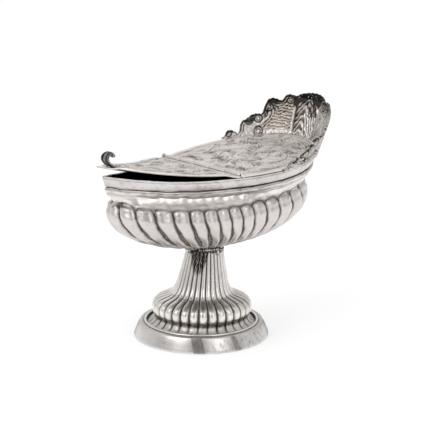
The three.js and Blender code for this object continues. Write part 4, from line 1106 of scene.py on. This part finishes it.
# Floor
def floor_shader(name, grey, seen_glow, mirrored_glow):
    """White floor that still takes the object's shadow; one glow is for the camera, one for reflections."""
    mat = bpy.data.materials.new(name)
    mat.use_nodes = True
    tree = mat.node_tree
    tree.nodes.clear()
    rays = add_node(tree, "LightPath", {}).node.outputs

    def glow(strength):
        return add_node(tree, "Emission", {"Strength": strength})

    def switch(ray, no, yes):
        return add_node(tree, "MixShader", {0: rays[ray], 1: no, 2: yes})

    shown = switch("Is Camera Ray", switch("Is Glossy Ray", glow(0.0), glow(mirrored_glow)), glow(seen_glow))
    lit = add_node(tree, "BsdfDiffuse", {"Color": (grey, grey, grey, 1)})
    surface = add_node(tree, "AddShader", {0: lit, 1: shown})
    feed(tree.nodes.new("ShaderNodeOutputMaterial"), {"Surface": surface})
    return mat


FLOOR_SIZE, FLOOR_Z = 30, -0.0002
bpy.ops.mesh.primitive_plane_add(size=FLOOR_SIZE, location=(0, 0, FLOOR_Z))
floor = bpy.context.object
floor.name = "floor"
floor.data.materials.append(floor_shader("floor_white", grey=0.6, seen_glow=0.48, mirrored_glow=0.78))

# Light tent with four darker strips, each as (heading, half width, soft edge, depth)
STRIPS = ((-136, 10, 9, 0.62), (-70, 7, 7, 0.55), (160, 12, 14, 0.35), (20, 12, 14, 0.22))
world = bpy.data.worlds.new("studio")
bpy.context.scene.world = world
world.use_nodes = True
tree = world.node_tree
world_math = partial(math_node, tree)
toward = add_node(tree, "TexCoord", {}, "Generated")
toward_x, toward_y, toward_z = add_node(tree, "SeparateXYZ", {0: toward}).node.outputs


def world_ramp(value, low, high, at_low, at_high):
    inputs = {"Value": value, "From Min": low, "From Max": high, "To Min": at_low, "To Max": at_high}
    return add_node(tree, "MapRange", inputs, "Result", interpolation_type="SMOOTHSTEP")


heading = world_math("ARCTAN2", toward_y, toward_x)
tent = world_ramp(toward_z, 0.30, 0.95, 1.0, 0.88)
for middle, half_width, soft, depth in STRIPS:
    away = world_math("ABSOLUTE", world_math("SUBTRACT", heading, math.radians(middle)), 0.0)
    strip = world_ramp(away, math.radians(half_width), math.radians(half_width + soft), depth, 0.0)
    strip = world_math("MULTIPLY", strip, world_ramp(toward_z, 0.55, 0.85, 1.0, 0.0))
    tent = world_math("MULTIPLY", tent, world_math("SUBTRACT", 1.0, strip))
feed(tree.nodes["Background"], {"Color": tent, "Strength": 1.0})


# Lamps
AIM_HEIGHT = 0.080


def softbox(name, place, size, power):
    """Rectangular lamp aimed at the middle of the object."""
    light = bpy.data.lights.new(name, "AREA")
    light.shape = "RECTANGLE"
    light.size, light.size_y = size
    light.energy = power
    lamp = bpy.data.objects.new(name, light)
    lamp.location = place
    lamp.rotation_euler = (Vector((0, 0, AIM_HEIGHT)) - Vector(place)).to_track_quat("-Z", "Y").to_euler()
    bpy.context.scene.collection.objects.link(lamp)


softbox("key", (-1.05, 0.05, 0.95), (0.8, 0.8), 3.8)
softbox("fill", (-0.15, -1.1, 0.75), (0.5, 0.8), 1.9)

# Camera at the photograph's place; focal length and shift are in pixels of the picture
PICTURE, SENSOR = 432, 36
AZIMUTH, ELEVATION = math.radians(-40.93), math.radians(14.417)
DISTANCE = 1.167275
FOCAL, SHIFT_RIGHT, SHIFT_UP = 1768.5, 14.702, 1.292
right = Vector((math.cos(AZIMUTH), math.sin(AZIMUTH), 0))
flat = math.cos(ELEVATION)
ahead = Vector((-math.sin(AZIMUTH) * flat, math.cos(AZIMUTH) * flat, -math.sin(ELEVATION)))
up = right.cross(ahead)
eye = Vector((FOOT_X * MM, FOOT_Y * MM, AIM_HEIGHT)) - ahead * DISTANCE
aim = (ahead + right * (SHIFT_RIGHT / FOCAL) + up * (SHIFT_UP / FOCAL)).normalized()
side = aim.cross(up).normalized()
camera = bpy.data.objects.new("camera", bpy.data.cameras.new("camera"))
camera.data.sensor_width = SENSOR
camera.data.lens = FOCAL * SENSOR / PICTURE
camera.data.clip_end = 60
camera.matrix_world = Matrix((side, side.cross(aim), -aim)).transposed().to_4x4()
camera.location = eye
bpy.context.scene.collection.objects.link(camera)
bpy.context.scene.camera = camera
bpy.context.scene.view_settings.view_transform = "Standard"
